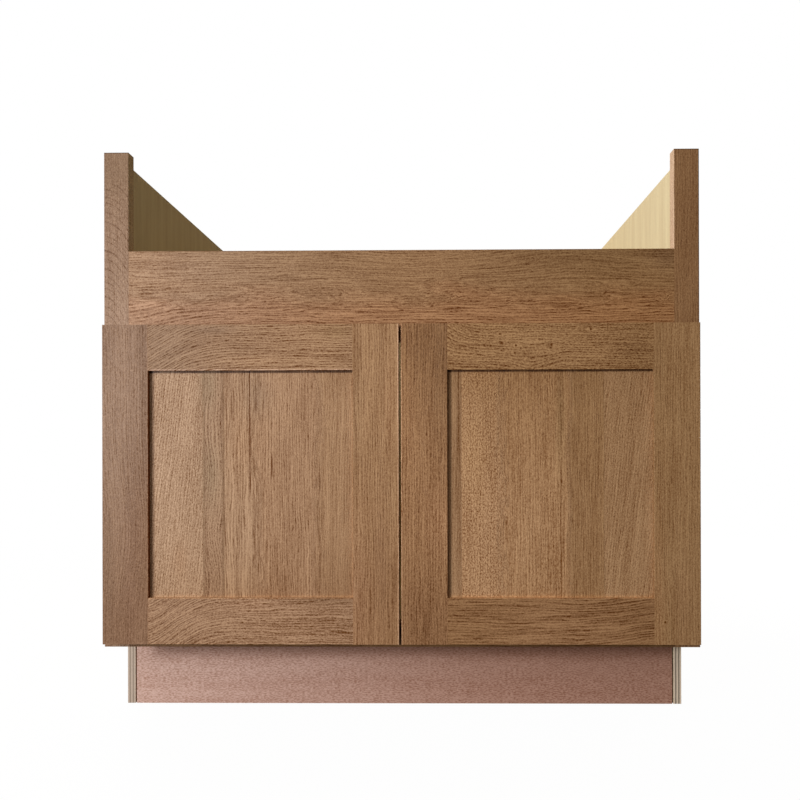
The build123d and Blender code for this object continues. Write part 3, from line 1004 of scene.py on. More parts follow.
@dataclass(frozen=True)
class Moulded:
    """Soft moulded plastic or rubber with a faint bloom.

    Attributes:
        name: the material's name.
        tone: its colour.
        rough: its mean roughness.
        soft: how much light passes into it.
    """

    name: str
    tone: Colour
    rough: float
    soft: float = 0.0

    def material(self) -> bpy.types.Material:
        """Builds the moulding's material.

        Returns:
            The material.
        """
        s = Shader(self.name)
        fine, coarse = (tuple(part * rate for part in s.place) for rate in (1800.0, 150.0))
        grit, bloom = s.noise(fine), s.noise(coarse)
        base = s.mix(bloom * 0.8 + grit * 0.3 + 0.4, scaled(self.tone, 1.1), scaled(self.tone, 0.8))
        rough = bloom * 0.2 + self.rough
        return s.finish(base, rough, grit + 0.5, 0.03 * MM, Subsurface_Weight=self.soft)


class Tone:
    """The mean colours of the cabinet's oak, board by board."""

    FRAME_LEFT = colour("8c6b52")
    FRAME_RIGHT = colour("906844")
    APRON_TAN = colour("916b49")
    APRON_RED = colour("986c49")
    BASE_RAIL = colour("85603d")
    L_HINGE_STILE = colour("86644b")
    L_MEETING_STILE = colour("9e7550")
    L_TOP_RAIL = colour("926d4e")
    L_BOTTOM_RAIL = colour("946e50")
    L_PALE = colour("a47f60")
    L_WAVY = colour("946f51")
    L_STRIPED = colour("9d7757")
    L_FINE = colour("9f7756")
    L_EDGE = colour("a07855")
    R_MEETING_STILE = colour("9b704b")
    R_HINGE_STILE = colour("a17951")
    R_TOP_RAIL = colour("997049")
    R_BOTTOM_RAIL = colour("8f6642")
    R_STRIP = colour("9e7652")
    R_FLECKED = colour("ac8059")
    R_STREAKED = colour("aa7e56")
    R_GREYER = colour("9d744d")
    R_LEANING = colour("a67d57")


NICKEL = PlatedSteel("satin_nickel", (0.62, 0.6, 0.57), 0.3)
ZINC = PlatedSteel("zinc_plating", (0.68, 0.69, 0.7), 0.36)
RUBBER = Moulded("spacer_rubber", (0.045, 0.045, 0.045), 0.75)
BUMPER = Moulded("bumper_plastic", (0.75, 0.75, 0.72), 0.35, 0.2)
FLOOR_FACE = colour("cdb98c")
BACK_FACE = colour("c9b285")
GREY_PLIES = (colour("b9a392"), colour("8c7969"))
PALE_PLIES = (colour("ecd6c0"), colour("807062"))
BEECH = Softwood("beech_dowel", Grain.LEVEL, colour("c9a47c"), 3.0, 2.0 * MM)
HINGE_HEIGHTS = (212.825 * MM, 518.2 * MM)


# ------------------------------------------------------------------------ modelling
class Bench:
    """Modelling by hand: primitives, face and edge picks, and finished pieces.

    A round bar has SIDES sides, a face looks down where its normal's Z is under DOWN, and heights
    are compared to within a HAIR.
    """

    SIDES = 32
    DOWN = -0.9
    HAIR = 1e-6

    @staticmethod
    def clear() -> None:
        """Deselects everything."""
        bpy.ops.object.select_all(action="DESELECT")

    @staticmethod
    def start(piece: bpy.types.Object) -> None:
        """Selects one piece alone and makes it active.

        Args:
            piece: the piece.
        """
        Bench.clear()
        piece.select_set(True)
        bpy.context.view_layer.objects.active = piece

    @staticmethod
    def round_bar(name: str, radius: float, length: float) -> bpy.types.Object:
        """Adds an upright round bar that stands at the origin, as the start of a piece.

        Args:
            name: the piece's name.
            radius: the bar's radius.
            length: its length.

        Returns:
            The bar.
        """
        Bench.clear()
        bpy.ops.mesh.primitive_cylinder_add(
            vertices=Bench.SIDES, radius=radius, depth=length, location=(0, 0, length / 2)
        )
        piece = bpy.context.active_object
        piece.name = piece.data.name = name
        Bench.settle(piece)
        return piece

    @staticmethod
    def _unpick(piece: bpy.types.Object, kind: str) -> None:
        """Leaves nothing of a piece's mesh picked, ready to pick faces or edges.

        Args:
            piece: the piece, in object mode.
            kind: FACE or EDGE.
        """
        Bench.start(piece)
        bpy.ops.object.mode_set(mode="EDIT")
        bpy.ops.mesh.select_mode(type=kind)
        bpy.ops.mesh.select_all(action="DESELECT")
        bpy.ops.object.mode_set(mode="OBJECT")

    @staticmethod
    def pick_faces(
        piece: bpy.types.Object, test: Callable[[bpy.types.MeshPolygon], bool]
    ) -> None:
        """Enters edit mode with the faces that pass a test picked.

        Args:
            piece: the piece, in object mode.
            test: what a face has to pass.
        """
        Bench._unpick(piece, "FACE")
        for face in piece.data.polygons:
            face.select = test(face)
        bpy.ops.object.mode_set(mode="EDIT")

    @staticmethod
    def bevel_rim(piece: bpy.types.Object, height: float, offset: float, segments: int) -> None:
        """Rounds the edges that lie at a height.

        Args:
            piece: the piece, in object mode.
            height: the edges' height.
            offset: how far the rounding reaches.
            segments: how many facets it has.
        """
        Bench._unpick(piece, "EDGE")
        points = piece.data.vertices
        for edge in piece.data.edges:
            edge.select = all(abs(points[end].co.z - height) < Bench.HAIR for end in edge.vertices)
        bpy.ops.object.mode_set(mode="EDIT")
        bpy.ops.mesh.bevel(offset=offset, segments=segments, affect="EDGES")
        Bench.leave()

    @staticmethod
    def leave() -> None:
        """Goes back to object mode."""
        bpy.ops.object.mode_set(mode="OBJECT")

    @staticmethod
    def settle(piece: bpy.types.Object) -> None:
        """Puts the piece's place into its mesh, with its object at the origin."""
        Bench.start(piece)
        bpy.ops.object.transform_apply(location=True, rotation=True, scale=True)

    @staticmethod
    def smooth(piece: bpy.types.Object, degrees: float) -> None:
        """Shades a piece smooth over all edges but those that turn more than an angle."""
        Bench.start(piece)
        bpy.ops.object.shade_smooth_by_angle(angle=math.radians(degrees))

    @staticmethod
    def coat(piece: bpy.types.Object, material: bpy.types.Material) -> None:
        """Gives a piece one material."""
        piece.data.materials.clear()
        piece.data.materials.append(material)

    @staticmethod
    def cut(piece: bpy.types.Object, tool: bpy.types.Object) -> None:
        """Cuts a tool's shape out of a piece and throws the tool away.

        Args:
            piece: the piece.
            tool: the shape that is cut out.
        """
        Bench.start(piece)
        modifier = piece.modifiers.new("cut", "BOOLEAN")
        modifier.operation = "DIFFERENCE"
        modifier.solver = "EXACT"
        modifier.object = tool
        bpy.ops.object.modifier_apply(modifier=modifier.name)
        bpy.data.objects.remove(tool)

    @staticmethod
    def copies(
        pattern: bpy.types.Object, name: str, places: Iterable[Matrix]
    ) -> bpy.types.Object:
        """Copies a pattern to each place and joins the copies into one piece.

        Args:
            pattern: the modelled piece, at the origin.
            name: the joined piece's name.
            places: where the copies go, and how they are turned.

        Returns:
            The joined piece, settled.
        """
        Bench.clear()
        made = []
        for place in places:
            twin = bpy.data.objects.new(name, pattern.data.copy())
            bpy.context.scene.collection.objects.link(twin)
            twin.matrix_world = place
            twin.select_set(True)
            made.append(twin)
        bpy.context.view_layer.objects.active = made[0]
        bpy.ops.object.join()
        piece = bpy.context.active_object
        piece.name = piece.data.name = name
        Bench.settle(piece)
        return piece

    @staticmethod
    def seats(
        place: tuple[float, float], turn: Matrix, levels: Levels
    ) -> list[Matrix]:
        """Where copies of a small part sit in an upright row.

        Args:
            place: the row's X and Y.
            turn: how the part is turned onto its seat.
            levels: each copy's height, and its turn about its own axis in degrees.

        Returns:
            Each copy's place.
        """
        return [
            Matrix.Translation((*place, height))
            @ turn
            @ Matrix.Rotation(math.radians(spin), 4, "Z")
            for height, spin in levels
        ]

    @staticmethod
    def pairs(heights: Iterable[float], pitch: float, spins: tuple[float, float]) -> Levels:
        """The levels of screws in pairs, one below and one above each height."""
        sides = tuple(zip((-pitch, pitch), spins))
        return [(height + side, spin) for height in heights for side, spin in sides]


@dataclass(frozen=True)
class CrossHeadScrew:
    """A pan-head screw with a cross recess, its shank pointing down -Z from the plate.

    Attributes:
        head_height: the head's height over the plate.
        length: from the plate's top to the point.
        head_radius: the head's radius.
        shank_radius: the shank's radius.
        recess: the recess's span.
    """

    head_height: float
    length: float
    head_radius: float = 3.4 * MM
    shank_radius: float = 1.75 * MM
    recess: float = 3.6 * MM

    DOME, POINT, TIP = 0.75, 0.25, 0.15
    SLOT, TAPER, SINK = 0.26, 0.55, 1.1

    def build(self) -> bpy.types.Object:
        """Models the screw at the origin, with the underside of its head at Z 0.

        Returns:
            The screw.
        """
        screw = Bench.round_bar("screw_pattern", self.head_radius, self.head_height)
        Bench.bevel_rim(screw, self.head_height, self.head_height * self.DOME, 4)
        self._recess(screw)
        self._shank(screw)
        Bench.smooth(screw, 35)
        return screw

    def _recess(self, screw: bpy.types.Object) -> None:
        """Cuts the tapered cross into the head.

        Args:
            screw: the screw.
        """
        for turn in (0, 90):
            Bench.clear()
            bpy.ops.mesh.primitive_cube_add(size=1, location=(0, 0, self.head_height))
            blade = bpy.context.active_object
            blade.scale = (self.recess, self.recess * self.SLOT, self.head_height * self.SINK)
            blade.rotation_euler = (0, 0, math.radians(turn))
            Bench.settle(blade)
            Bench.pick_faces(blade, lambda face: face.normal.z < Bench.DOWN)
            bpy.ops.transform.resize(value=(self.TAPER, self.TAPER, 1.0))
            Bench.leave()
            Bench.cut(screw, blade)

    def _shank(self, screw: bpy.types.Object) -> None:
        """Draws the shank and its point out of the head's underside.

        Args:
            screw: the screw.
        """
        point = self.length * self.POINT
        Bench.pick_faces(
            screw, lambda face: face.normal.z < Bench.DOWN and face.center.z < Bench.HAIR
        )
        share = self.shank_radius / self.head_radius
        bpy.ops.mesh.inset(thickness=self.head_radius * (1 - share), depth=0)
        for drop in (point - self.length, -point):
            bpy.ops.mesh.extrude_region_move(TRANSFORM_OT_translate={"value": (0, 0, drop)})
        bpy.ops.transform.resize(value=(self.TIP, self.TIP, 1.0))
        Bench.leave()


@dataclass(frozen=True)
class SoftBumper:
    """A self-adhesive bumper with a domed top, its flat base at Z 0.

    Attributes:
        radius: its radius.
        height: its height.
    """

    radius: float = 4.0 * MM
    height: float = 2.3 * MM

    DOME, FOOT = 0.6, 0.1

    def build(self) -> bpy.types.Object:
        """Models the bumper at the origin.

        Returns:
            The bumper.
        """
        bumper = Bench.round_bar("bumper_pattern", self.radius, self.height)
        Bench.bevel_rim(bumper, self.height, self.height * self.DOME, 5)
        Bench.bevel_rim(bumper, 0.0, self.height * self.FOOT, 2)
        Bench.smooth(bumper, 40)
        return bumper


# ------------------------------------------------------------------------ sub-assemblies
class Hand(Enum):
    """Which side of the cabinet a piece belongs to, with the sign of its X."""

    LEFT = -1
    RIGHT = 1

    @property
    def word(self) -> str:
        """The side's name as the nodes spell it."""
        return self.name.lower()


@dataclass
class Assembly:
    """Pieces that are dressed together.

    Attributes:
        nodes: the frame's objects, by node name.
    """

    nodes: dict[str, bpy.types.Object]

    def build(self) -> list[str]:
        """Builds and dresses the pieces, and returns their names."""
        raise NotImplementedError

    def dress(self, materials: Mapping[str, bpy.types.Material]) -> list[str]:
        """Gives carried-over nodes their materials.

        Args:
            materials: each node's material, by the node's name.

        Returns:
            The nodes' names.
        """
        for node, material in materials.items():
            Bench.coat(self.nodes[node], material)
        return list(materials)


@dataclass
class Carcass(Assembly):
    """The plywood box with its rails, blocks and toe kick board.

    Attributes:
        board: the thickness of the sides, the floor and the toe kick board.
        side_middle: the side panels' middle planes, out from the centre.
        side_inner: their inner faces, out from the centre.
        toe_middle: the Y of the toe kick board's middle.
        toe_top: the Z of its upper edge.
        floor_middle: the Z of the floor panel's middle.
        back_middle: the Y of the back panel's middle.
        back_board: the back panel's thickness.
    """

    board: float = 12.7 * MM
    side_middle: float = 447.675 * MM
    side_inner: float = 441.325 * MM
    toe_middle: float = -211.475 * MM
    toe_top: float = 114.3 * MM
    floor_middle: float = 146.05 * MM
    back_middle: float = 312.4 * MM
    back_board: float = 6.35 * MM

    def build(self) -> list[str]:
        """Dresses the carcass.

        Returns:
            The pieces' names.
        """
        boards: dict[str, Plywood | Softwood] = {
            "side_panel_left": self._side(Hand.LEFT, colour("e1d2ac"), GREY_PLIES),
            "side_panel_right": self._side(Hand.RIGHT, colour("d6c39a"), PALE_PLIES),
            "toe_kick_board": self._toe_board(),
            "floor_panel": Plywood(
                "birch_floor", Grain.FLAT, FLOOR_FACE, 7, self.board, self.floor_middle, seed=21.0
            ),
            "back_panel": Plywood(
                "thin_back",
                Grain.UPRIGHT,
                BACK_FACE,
                3,
                self.back_board,
                self.back_middle,
                seed=31.0,
                figure=0.2,
            ),
            "toe_kick_block_left": Softwood("glue_block_left", Grain.UPRIGHT, seed=50.0),
            "toe_kick_block_right": Softwood("glue_block_right", Grain.UPRIGHT, seed=52.0),
            "hanging_rail": Softwood("pine_hanging_rail", Grain.LEVEL),
            "rear_base_rail": Softwood("pine_rear_base_rail", Grain.LEVEL, seed=0.37),
        }
        materials = {node: board.material() for node, board in boards.items()}
        return self.dress(materials | {"back_panel_brads": ZINC.material()})

    def _side(self, hand: Hand, face: Colour, core: tuple[Colour, Colour]) -> Plywood:
        """A side panel's plywood.

        Args:
            hand: the side.
            face: the veneer's mean colour.
            core: the colours of the light and the dark plies.

        Returns:
            The plywood.
        """
        return Plywood(
            f"birch_side_{hand.word}",
            Grain.UPRIGHT_SIDE,
            face,
            plies=5,
            thickness=self.board,
            middle=hand.value * self.side_middle,
            core=core,
            seed=11.0 + hand.value,
            figure=0.35,
        )

    def _toe_board(self) -> Plywood:
        """The toe kick board's plywood."""
        return Plywood(
            "red_toe_board",
            Grain.LEVEL,
            colour("c29c8e"),
            plies=5,
            thickness=self.board,
            middle=self.toe_middle,
            core=(colour("a87a66"), colour("6f4a3c")),
            seed=5.0,
            figure=0.35,
            dashes=1.95,
            dash_length=4.5 * MM,
            # The right-hand end partly painted shade; a painted shadow under the doors at the top
            # and painted shade at the ends.
            far_drift_and_shade=(0.82, 0.7, 0.62),
            shaded_top=self.toe_top,
            half_span=self.side_inner,
        )


@dataclass
class FaceFrame(Assembly):
    """The face frame: two stiles, the lowered apron rail and the bottom rail.

    Attributes:
        outer: the stiles' outer edges, out from the centre.
        apron_top: the Z of the apron's upper edge.
        apron_bottom: the Z of its lower edge.
        apron_change: how far above that its redder lower strip gives way to the tan one.
        base_low: the Z of the bottom rail's lower edge.
        top: the Z of the stiles' upper ends.
    """

    outer: float = 457.2 * MM
    apron_top: float = 723.9 * MM
    apron_bottom: float = 584.2 * MM
    apron_change: float = 68.0 * MM
    base_low: float = 114.3 * MM
    top: float = 876.3 * MM

    def build(self) -> list[str]:
        """Dresses the face frame.

        Returns:
            The pieces' names.
        """
        boards = {
            "frame_stile_left": self._left_stile(),
            "frame_stile_right": self._right_stile(),
            "apron_rail": self._apron(),
            "frame_bottom_rail": self._bottom_rail(),
            "face_frame_dowels": BEECH,
        }
        return self.dress({node: board.material() for node, board in boards.items()})

    def _left_stile(self) -> Oak:
        """The left stile's oak, with half a cathedral against its outer edge."""
        return Oak(
            "oak_stile_left",
            Grain.UPRIGHT,
            (Leaf(Tone.FRAME_LEFT, dash=0.12, fleck=0.62, streak=0.3, band=0.3),),
            seed=1.0,
            years=Years(3.6 * MM, (-self.outer - 2 * MM, 0.152), 0.3, 0.36, 0.825),
            patches=(
                Patch(0.86, -0.44, 0.08, 0.1, (0.78, 0.76, 0.7)),
                Patch(0.6, -0.43, 0.06, 0.05, (1.06, 1.06, 1.08)),
            ),
            # Painted shade along the upper end's edge.
            rims=(Rim(False, self.top, 1.6 * MM, Rim.PAINTED_DEEP_SHADE),),
            high_side=(2.5, 3.2, 3.4),
        )

    def _right_stile(self) -> Oak:
        """The right stile's oak, darker and straight grained, with a pale inner edge."""
        return Oak(
            "oak_stile_right",
            Grain.UPRIGHT,
            (Leaf(Tone.FRAME_RIGHT, dash=0.32, length=10 * MM, streak=0.4),),
            seed=2.0,
            # Painted shade along the outer edge and the upper end's edge.
            rims=(
                Rim(True, self.outer, 1.8 * MM, Rim.PAINTED_DEEP_SHADE),
                Rim(False, self.top, 1.8 * MM, Rim.PAINTED_DEEP_SHADE),
            ),
            low_side=(1.95, 2.5, 3.6),
        )

    def _apron(self) -> Oak:
        """The apron rail's oak: tan above, redder below, with a fan at its left end.

        Returns:
            The oak.
        """
        low, high = self.apron_bottom, self.apron_top
        red = Leaf(Tone.APRON_RED, low, length=12 * MM, fleck=0.5, streak=1.1)
        tan = Leaf(
            Tone.APRON_TAN,
            low + self.apron_change,
            22 * MM,
            dash=0.55,
            length=9 * MM,
            fleck=0.6,
            streak=0.9,
        )
        return Oak(
            "oak_apron",
            Grain.LEVEL,
            (red, tan),
            seed=3.0,
            bows=(
                Bow(-0.43, 0.1, 0.03, low, 0.06),
                Bow(0.02, 0.09, 0.008, high, 0.04),
                Bow(0.25, 0.1, -0.012, high, 0.05),
            ),
            patches=(
                Patch(-0.1, high, 0.1, 0.045, (0.96, 0.96, 0.95)),
                # These two are bluer at the left end and warmer at the right, partly the board's
                # own tone and partly a painted tint of the cool and warm light falling there.
                Patch(-0.38, 0.65, 0.2, 0.3, (1.03, 1.1, 1.3)),
                Patch(0.38, 0.65, 0.24, 0.3, (1.04, 1.0, 0.87)),
                Patch(0.02, 0.65, 0.15, 0.3, (1.07, 1.06, 1.04)),
                Patch(0.32, high, 0.16, 0.05, (0.86, 0.88, 0.86)),
                Patch(-0.4, 0.7, 0.07, 0.06, (1.1, 1.08, 1.06)),
                Patch(0.41, 0.71, 0.03, 0.02, (0.82, 0.8, 0.83)),
                Patch(-0.25, high, 0.08, 0.012, (0.91, 0.9, 0.87)),
                Patch(-0.33, 0.668, 0.1, 0.012, (1.09, 1.08, 1.06)),
            ),
        )

    def _bottom_rail(self) -> Oak:
        """The bottom rail's oak, of which a strip shows under the doors."""
        return Oak(
            "oak_bottom_rail",
            Grain.LEVEL,
            (Leaf(Tone.BASE_RAIL, dash=0.8, length=10 * MM),),
            seed=4.0,
            # Painted shade on the strip under the overhanging doors.
            rims=(Rim(True, self.base_low, 11.5 * MM, Rim.PAINTED_SHADE, 0.8),),
        )


@dataclass
class HingeArms(Assembly):
    """The hinge arms on the stiles' inner edges, with their screws.

    Attributes:
        plate_face: the face of the arms' plates, out from the centre.
        middle: the Y of the stiles' middle.
        heights: the hinges' heights.
        pitch: from a hinge's middle to each screw.
        spins: how a hinge's lower and upper screw are turned, in degrees.
        screw: the screws.
    """

    plate_face: float = 417.3 * MM
    middle: float = -284.5 * MM
    heights: tuple[float, float] = HINGE_HEIGHTS
    pitch: float = 16.0 * MM
    spins: tuple[float, float] = (-12.0, 46.0)
    screw: CrossHeadScrew = CrossHeadScrew(head_height=1.6 * MM, length=14.0 * MM)

    def build(self) -> list[str]:
        """Dresses the arms and models their screws.

        Returns:
            The pieces' names.
        """
        nickel, zinc = NICKEL.material(), ZINC.material()
        pattern = self.screw.build()
        levels = Bench.pairs(self.heights, self.pitch, self.spins)
        done = []
        for hand in Hand:
            arms = [f"hinge_arm_{level}_{hand.word}" for level in ("upper", "lower")]
            done += self.dress(dict.fromkeys(arms, nickel))
            turn = Matrix.Rotation(-hand.value * math.pi / 2, 4, "Y")
            places = Bench.seats((hand.value * self.plate_face, self.middle), turn, levels)
            node = f"hinge_arm_screws_{hand.word}"
            piece = Bench.copies(pattern, f"arm_screws_{hand.word}", places)
            Bench.coat(piece, zinc)
            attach(piece, "cabinet")
            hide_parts(node)
            done.append(piece.name)
        bpy.data.objects.remove(pattern)
        return done


@dataclass
class Door(Assembly):
    """A five-piece shaker door with its bumpers, hinge cups and their screws.

    Attributes:
        hand: the side it hangs on.
        back: the Y of the door's back.
        hinge_edge: its outer edge, out from the centre.
        meeting_edge: its edge at the middle.
        bottom: the Z of its lower edge.
        top: the Z of its upper edge.
        member: the width of its stiles and rails.
        heights: the hinges' heights.
        cup_line: the cup screws' line, out from the centre.
        cup_pitch: from a cup's middle to each screw.
        flange: how far the cups' flanges stand over the back.
        spins: how a cup's lower and upper screw are turned, in degrees.
        screw: the cup screws.
        bumper_line: the bumpers' line, out from the centre.
        bumper_heights: the bumpers' heights.
    """

    hand: Hand
    back: float = -296.525 * MM
    hinge_edge: float = 450.85 * MM
    meeting_edge: float = 1.6 * MM
    bottom: float = 123.825 * MM
    top: float = 607.2 * MM
    member: float = 69.85 * MM
    heights: tuple[float, float] = HINGE_HEIGHTS
    cup_line: float = 420.85 * MM
    cup_pitch: float = 22.5 * MM
    flange: float = 1.2 * MM
    spins: tuple[float, float] = (-15.0, 31.0)
    screw: CrossHeadScrew = CrossHeadScrew(head_height=0.8 * MM, length=12.0 * MM)
    bumper_line: float = 21.6 * MM
    bumper_heights: tuple[float, float] = (138.1125 * MM, 595.7 * MM)

    def build(self) -> list[str]:
        """Dresses the door and models its small parts.

        Returns:
            The pieces' names.
        """
        boards = self._left_boards() if self.hand is Hand.LEFT else self._right_boards()
        done = self.dress({node: oak.material() for node, oak in boards})
        nickel, zinc = NICKEL.material(), ZINC.material()
        steel = {self._node("panel_spacers"): RUBBER.material()}
        for level in ("upper", "lower"):
            steel[self._node(f"hinge_cup_{level}")] = nickel
            steel[self._node(f"hinge_pin_{level}")] = zinc
        return done + self.dress(steel) + [self._screws(zinc), self._bumpers()]

    def _node(self, part: str) -> str:
        """The name of one of the door's nodes."""
        return f"{self.hand.word}_door_{part}"

    def _fit(
        self, pattern: bpy.types.Object, name: str, line: tuple[float, float], levels: Levels
    ) -> bpy.types.Object:
        """Copies a small part to its places on the door's back.

        Args:
            pattern: the part, which is thrown away.
            name: what the copies are called together.
            line: how far out from the centre they are, and their Y.
            levels: each copy's height and its turn in degrees.

        Returns:
            The joined copies.
        """
        turn = Matrix.Rotation(-math.pi / 2, 4, "X")
        places = Bench.seats((self.hand.value * line[0], line[1]), turn, levels)
        piece = Bench.copies(pattern, f"{self.hand.word}_{name}", places)
        bpy.data.objects.remove(pattern)
        return piece

    def _carry(
        self, piece: bpy.types.Object, material: bpy.types.Material, node: str, slot: str
    ) -> str:
        """Puts a modelled piece on the door in the place of a node.

        Args:
            piece: the modelled piece.
            material: its material.
            node: the node that it stands for.
            slot: not used.

        Returns:
            The piece's name.
        """
        Bench.coat(piece, material)
        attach(piece, f"{self.hand.word}_door")
        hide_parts(self._node(node))
        return piece.name

    def _screws(self, zinc: bpy.types.Material) -> str:
        """Models the hinge cups' screws.

        Args:
            zinc: the plating.

        Returns:
            The piece's name.
        """
        levels = Bench.pairs(self.heights, self.cup_pitch, self.spins)
        line = (self.cup_line, self.back + self.flange)
        piece = self._fit(self.screw.build(), "cup_screws", line, levels)
        return self._carry(piece, zinc, "cup_screws", "zinc_steel")

    def _bumpers(self) -> str:
        """Models the bumpers on the door's back.

        Returns:
            The piece's name.
        """
        levels = [(height, 0.0) for height in self.bumper_heights]
        line = (self.bumper_line, self.back)
        piece = self._fit(SoftBumper().build(), "soft_bumpers", line, levels)
        return self._carry(piece, BUMPER.material(), "bumpers", "bumper_plastic")

    def _oak(self, part: str, *leaves: Leaf, **looks: object) -> tuple[str, Oak]:
        """One board's node and its oak, with the grain along the board."""
        grain = Grain.LEVEL if part.endswith("rail") else Grain.UPRIGHT
        return self._node(part), Oak(f"oak_{self.hand.word}_{part}", grain, leaves, **looks)

    def _left_boards(self) -> Iterator[tuple[str, Oak]]:
        """The oak of the left door's boards.

        Yields:
            Each board's node and its oak.
        """
        low, high = self.bottom, self.top
        rail_low, rail_high = low + self.member, high - self.member
        outer, inner = -self.hinge_edge + self.member, -self.meeting_edge - self.member
        yield self._oak(
            "hinge_stile",
            Leaf(Tone.L_HINGE_STILE, dash=0.26, length=11 * MM, fleck=0.55, streak=0.4, band=0.5),
            seed=6.0,
            bows=(Bow(0.3, 0.09, -0.012),),
            patches=(
                Patch(0.16, -0.4, 0.2, 0.1, (0.87, 0.81, 0.73)),
                Patch(0.3, -0.385, 0.12, 0.02, (1.12, 1.11, 1.1)),
                Patch(0.23, -0.408, 0.13, 0.012, (1.07, 1.08, 1.12)),
                Patch(0.22, -0.442, 0.13, 0.01, (0.93, 0.93, 0.92)),
            ),
            # A painted highlight along the edge at the panel, partly edge wear; the wall beside the
            # panel darkened as painted shade.
            rims=(Rim(True, outer, 1.6 * MM, Rim.RUBBED_HIGHLIGHT),),
            high_side=(1.08, 0.65, 0.33),
        )
        yield self._oak(
            "meeting_stile",
            Leaf(Tone.L_MEETING_STILE, dash=0.5, length=12 * MM, streak=0.65, band=0.5),
            seed=7.0,
            patches=(
                Patch(0.13, -0.03, 0.13, 0.1, (0.92, 0.885, 0.88)),
                Patch(0.26, -0.028, 0.1, 0.011, (0.84, 0.8, 0.79)),
                Patch(0.2, -0.065, 0.12, 0.02, (1.1, 1.1, 1.18)),
                Patch(0.49, -0.012, 0.07, 0.012, (1.13, 1.13, 1.16)),
                Patch(0.5, -0.064, 0.12, 0.008, (0.93, 0.93, 0.93)),
            ),
            # A painted highlight along the meeting edge, partly edge wear.
            rims=(Rim(True, -self.meeting_edge, 2.8 * MM, Rim.WORN_HIGHLIGHT, 0.6),),
        )
        yield self._oak(
            "top_rail",
            Leaf(Tone.L_TOP_RAIL, dash=0.95, length=10 * MM, fleck=0.55, streak=0.8),
            seed=8.0,
            bows=(Bow(-0.42, 0.08, 0.055),),
            patches=(
                Patch(-0.12, high, 0.1, 0.2, (1.2, 1.2, 1.17)),
                Patch(-0.36, high, 0.06, 0.2, (0.88, 0.89, 0.93)),
                Patch(-0.095, 0.595, 0.03, 0.014, (0.86, 0.85, 0.77)),
                Patch(-0.28, 0.599, 0.035, 0.007, (0.82, 0.82, 0.84)),
                Patch(-0.225, 0.55, 0.05, 0.01, (1.15, 1.16, 1.17)),
            ),
            # A painted highlight along the lower edge, partly edge wear; painted shade on the
            # underside.
            rims=(Rim(True, rail_high, 2.6 * MM, Rim.WORN_HIGHLIGHT, 0.5),),
            low_side=(0.7, 0.58, 0.46),
        )
        yield self._oak(
            "bottom_rail",
            Leaf(Tone.L_BOTTOM_RAIL, dash=0.85, length=8 * MM, fleck=0.8, streak=1.0),
            seed=9.0,
            wander=0.0045,
            bows=(Bow(-0.395, 0.07, 0.055),),
            patches=(
                Patch(-0.14, low, 0.12, 0.1, (1.15, 1.16, 1.18)),
                Patch(-0.11, rail_low, 0.05, 0.01, (0.82, 0.8, 0.76)),
                Patch(-0.225, 0.185, 0.04, 0.012, (1.1, 1.1, 1.12)),
            ),
            # Painted highlights along the upper and lower edges, partly edge wear, and a painted
            # highlight on the upper face.
            rims=(
                Rim(True, rail_low, 0.9 * MM, Rim.RUBBED_HIGHLIGHT),
                Rim(True, low, 2.0 * MM, Rim.RUBBED_HIGHLIGHT),
            ),
            high_side=(1.78, 1.9, 1.95),
        )
        yield self._oak(
            "panel",
            Leaf(
                Tone.L_PALE, slant=-0.12, dash=0.45, length=5 * MM, fleck=0.8, streak=0.55, band=0.2
            ),
            Leaf(Tone.L_WAVY, -0.2985, 0.002, dash=0.75, length=5 * MM, fleck=0.7, band=1.0),
            Leaf(Tone.L_STRIPED, -0.269, 0.003, dash=0.65, length=18 * MM, streak=0.9, band=1.1),
            Leaf(Tone.L_FINE, -0.214, 0.01, dash=0.55, length=14 * MM, fleck=0.4, streak=0.7),
            Leaf(
                Tone.L_EDGE,
                -0.122,
                0.008,
                dash=0.4,
                length=14 * MM,
                fleck=0.3,
                streak=0.4,
                band=0.6,
            ),
            seed=10.0,
            bows=(
                Bow(0.46, 0.04, 0.004, -0.288, 0.018),
                Bow(0.38, 0.035, -0.004, -0.284, 0.018),
                Bow(0.29, 0.04, 0.006, -0.286, 0.018),
                Bow(0.22, 0.03, -0.005, -0.288, 0.018),
            ),
            patches=(
                Patch(0.52, -0.291, 0.045, 0.014, (0.9, 0.97, 0.98)),
                Patch(0.38, -0.287, 0.05, 0.014, (0.9, 0.96, 0.96)),
                Patch(0.19, -0.25, 0.05, 0.12, (0.9, 0.85, 0.78)),
                Patch(0.25, -0.335, 0.03, 0.012, (0.88, 0.82, 0.76)),
                Patch(0.5, -0.215, 0.03, 0.02, (0.87, 0.9, 0.94)),
                Patch(0.43, -0.24, 0.06, 0.02, (1.1, 1.08, 1.05)),
                Patch(0.22, -0.09, 0.09, 0.03, (0.87, 0.84, 0.81)),
            ),
            streaks=(
                Streak(-0.228, 0.35, 0.56, 0.0022, 0.48),
                Streak(-0.1955, 0.383, 0.4, 0.0016, 1.5),
                Streak(-0.1227, 0.2, 0.4, 0.0012, 0.2),
                Streak(-0.0846, 0.3, 0.5, 0.0016, 0.15),
            ),
            # A painted shadow cast by the hinge stile beside the left edge, a painted shadow under
            # the top rail, and painted highlights along the lower and right edges.
            rims=(
                Rim(True, outer + 4.6 * MM, 3.4 * MM, Rim.PAINTED_SHADE, 0.6),
                Rim(False, rail_high, 3.9 * MM, Rim.PAINTED_DEEP_SHADE, 0.7),
                Rim(False, rail_low, 6.0 * MM, Rim.RUBBED_HIGHLIGHT, 0.0),
                Rim(True, inner, 1.8 * MM, Rim.RUBBED_HIGHLIGHT),
            ),
        )

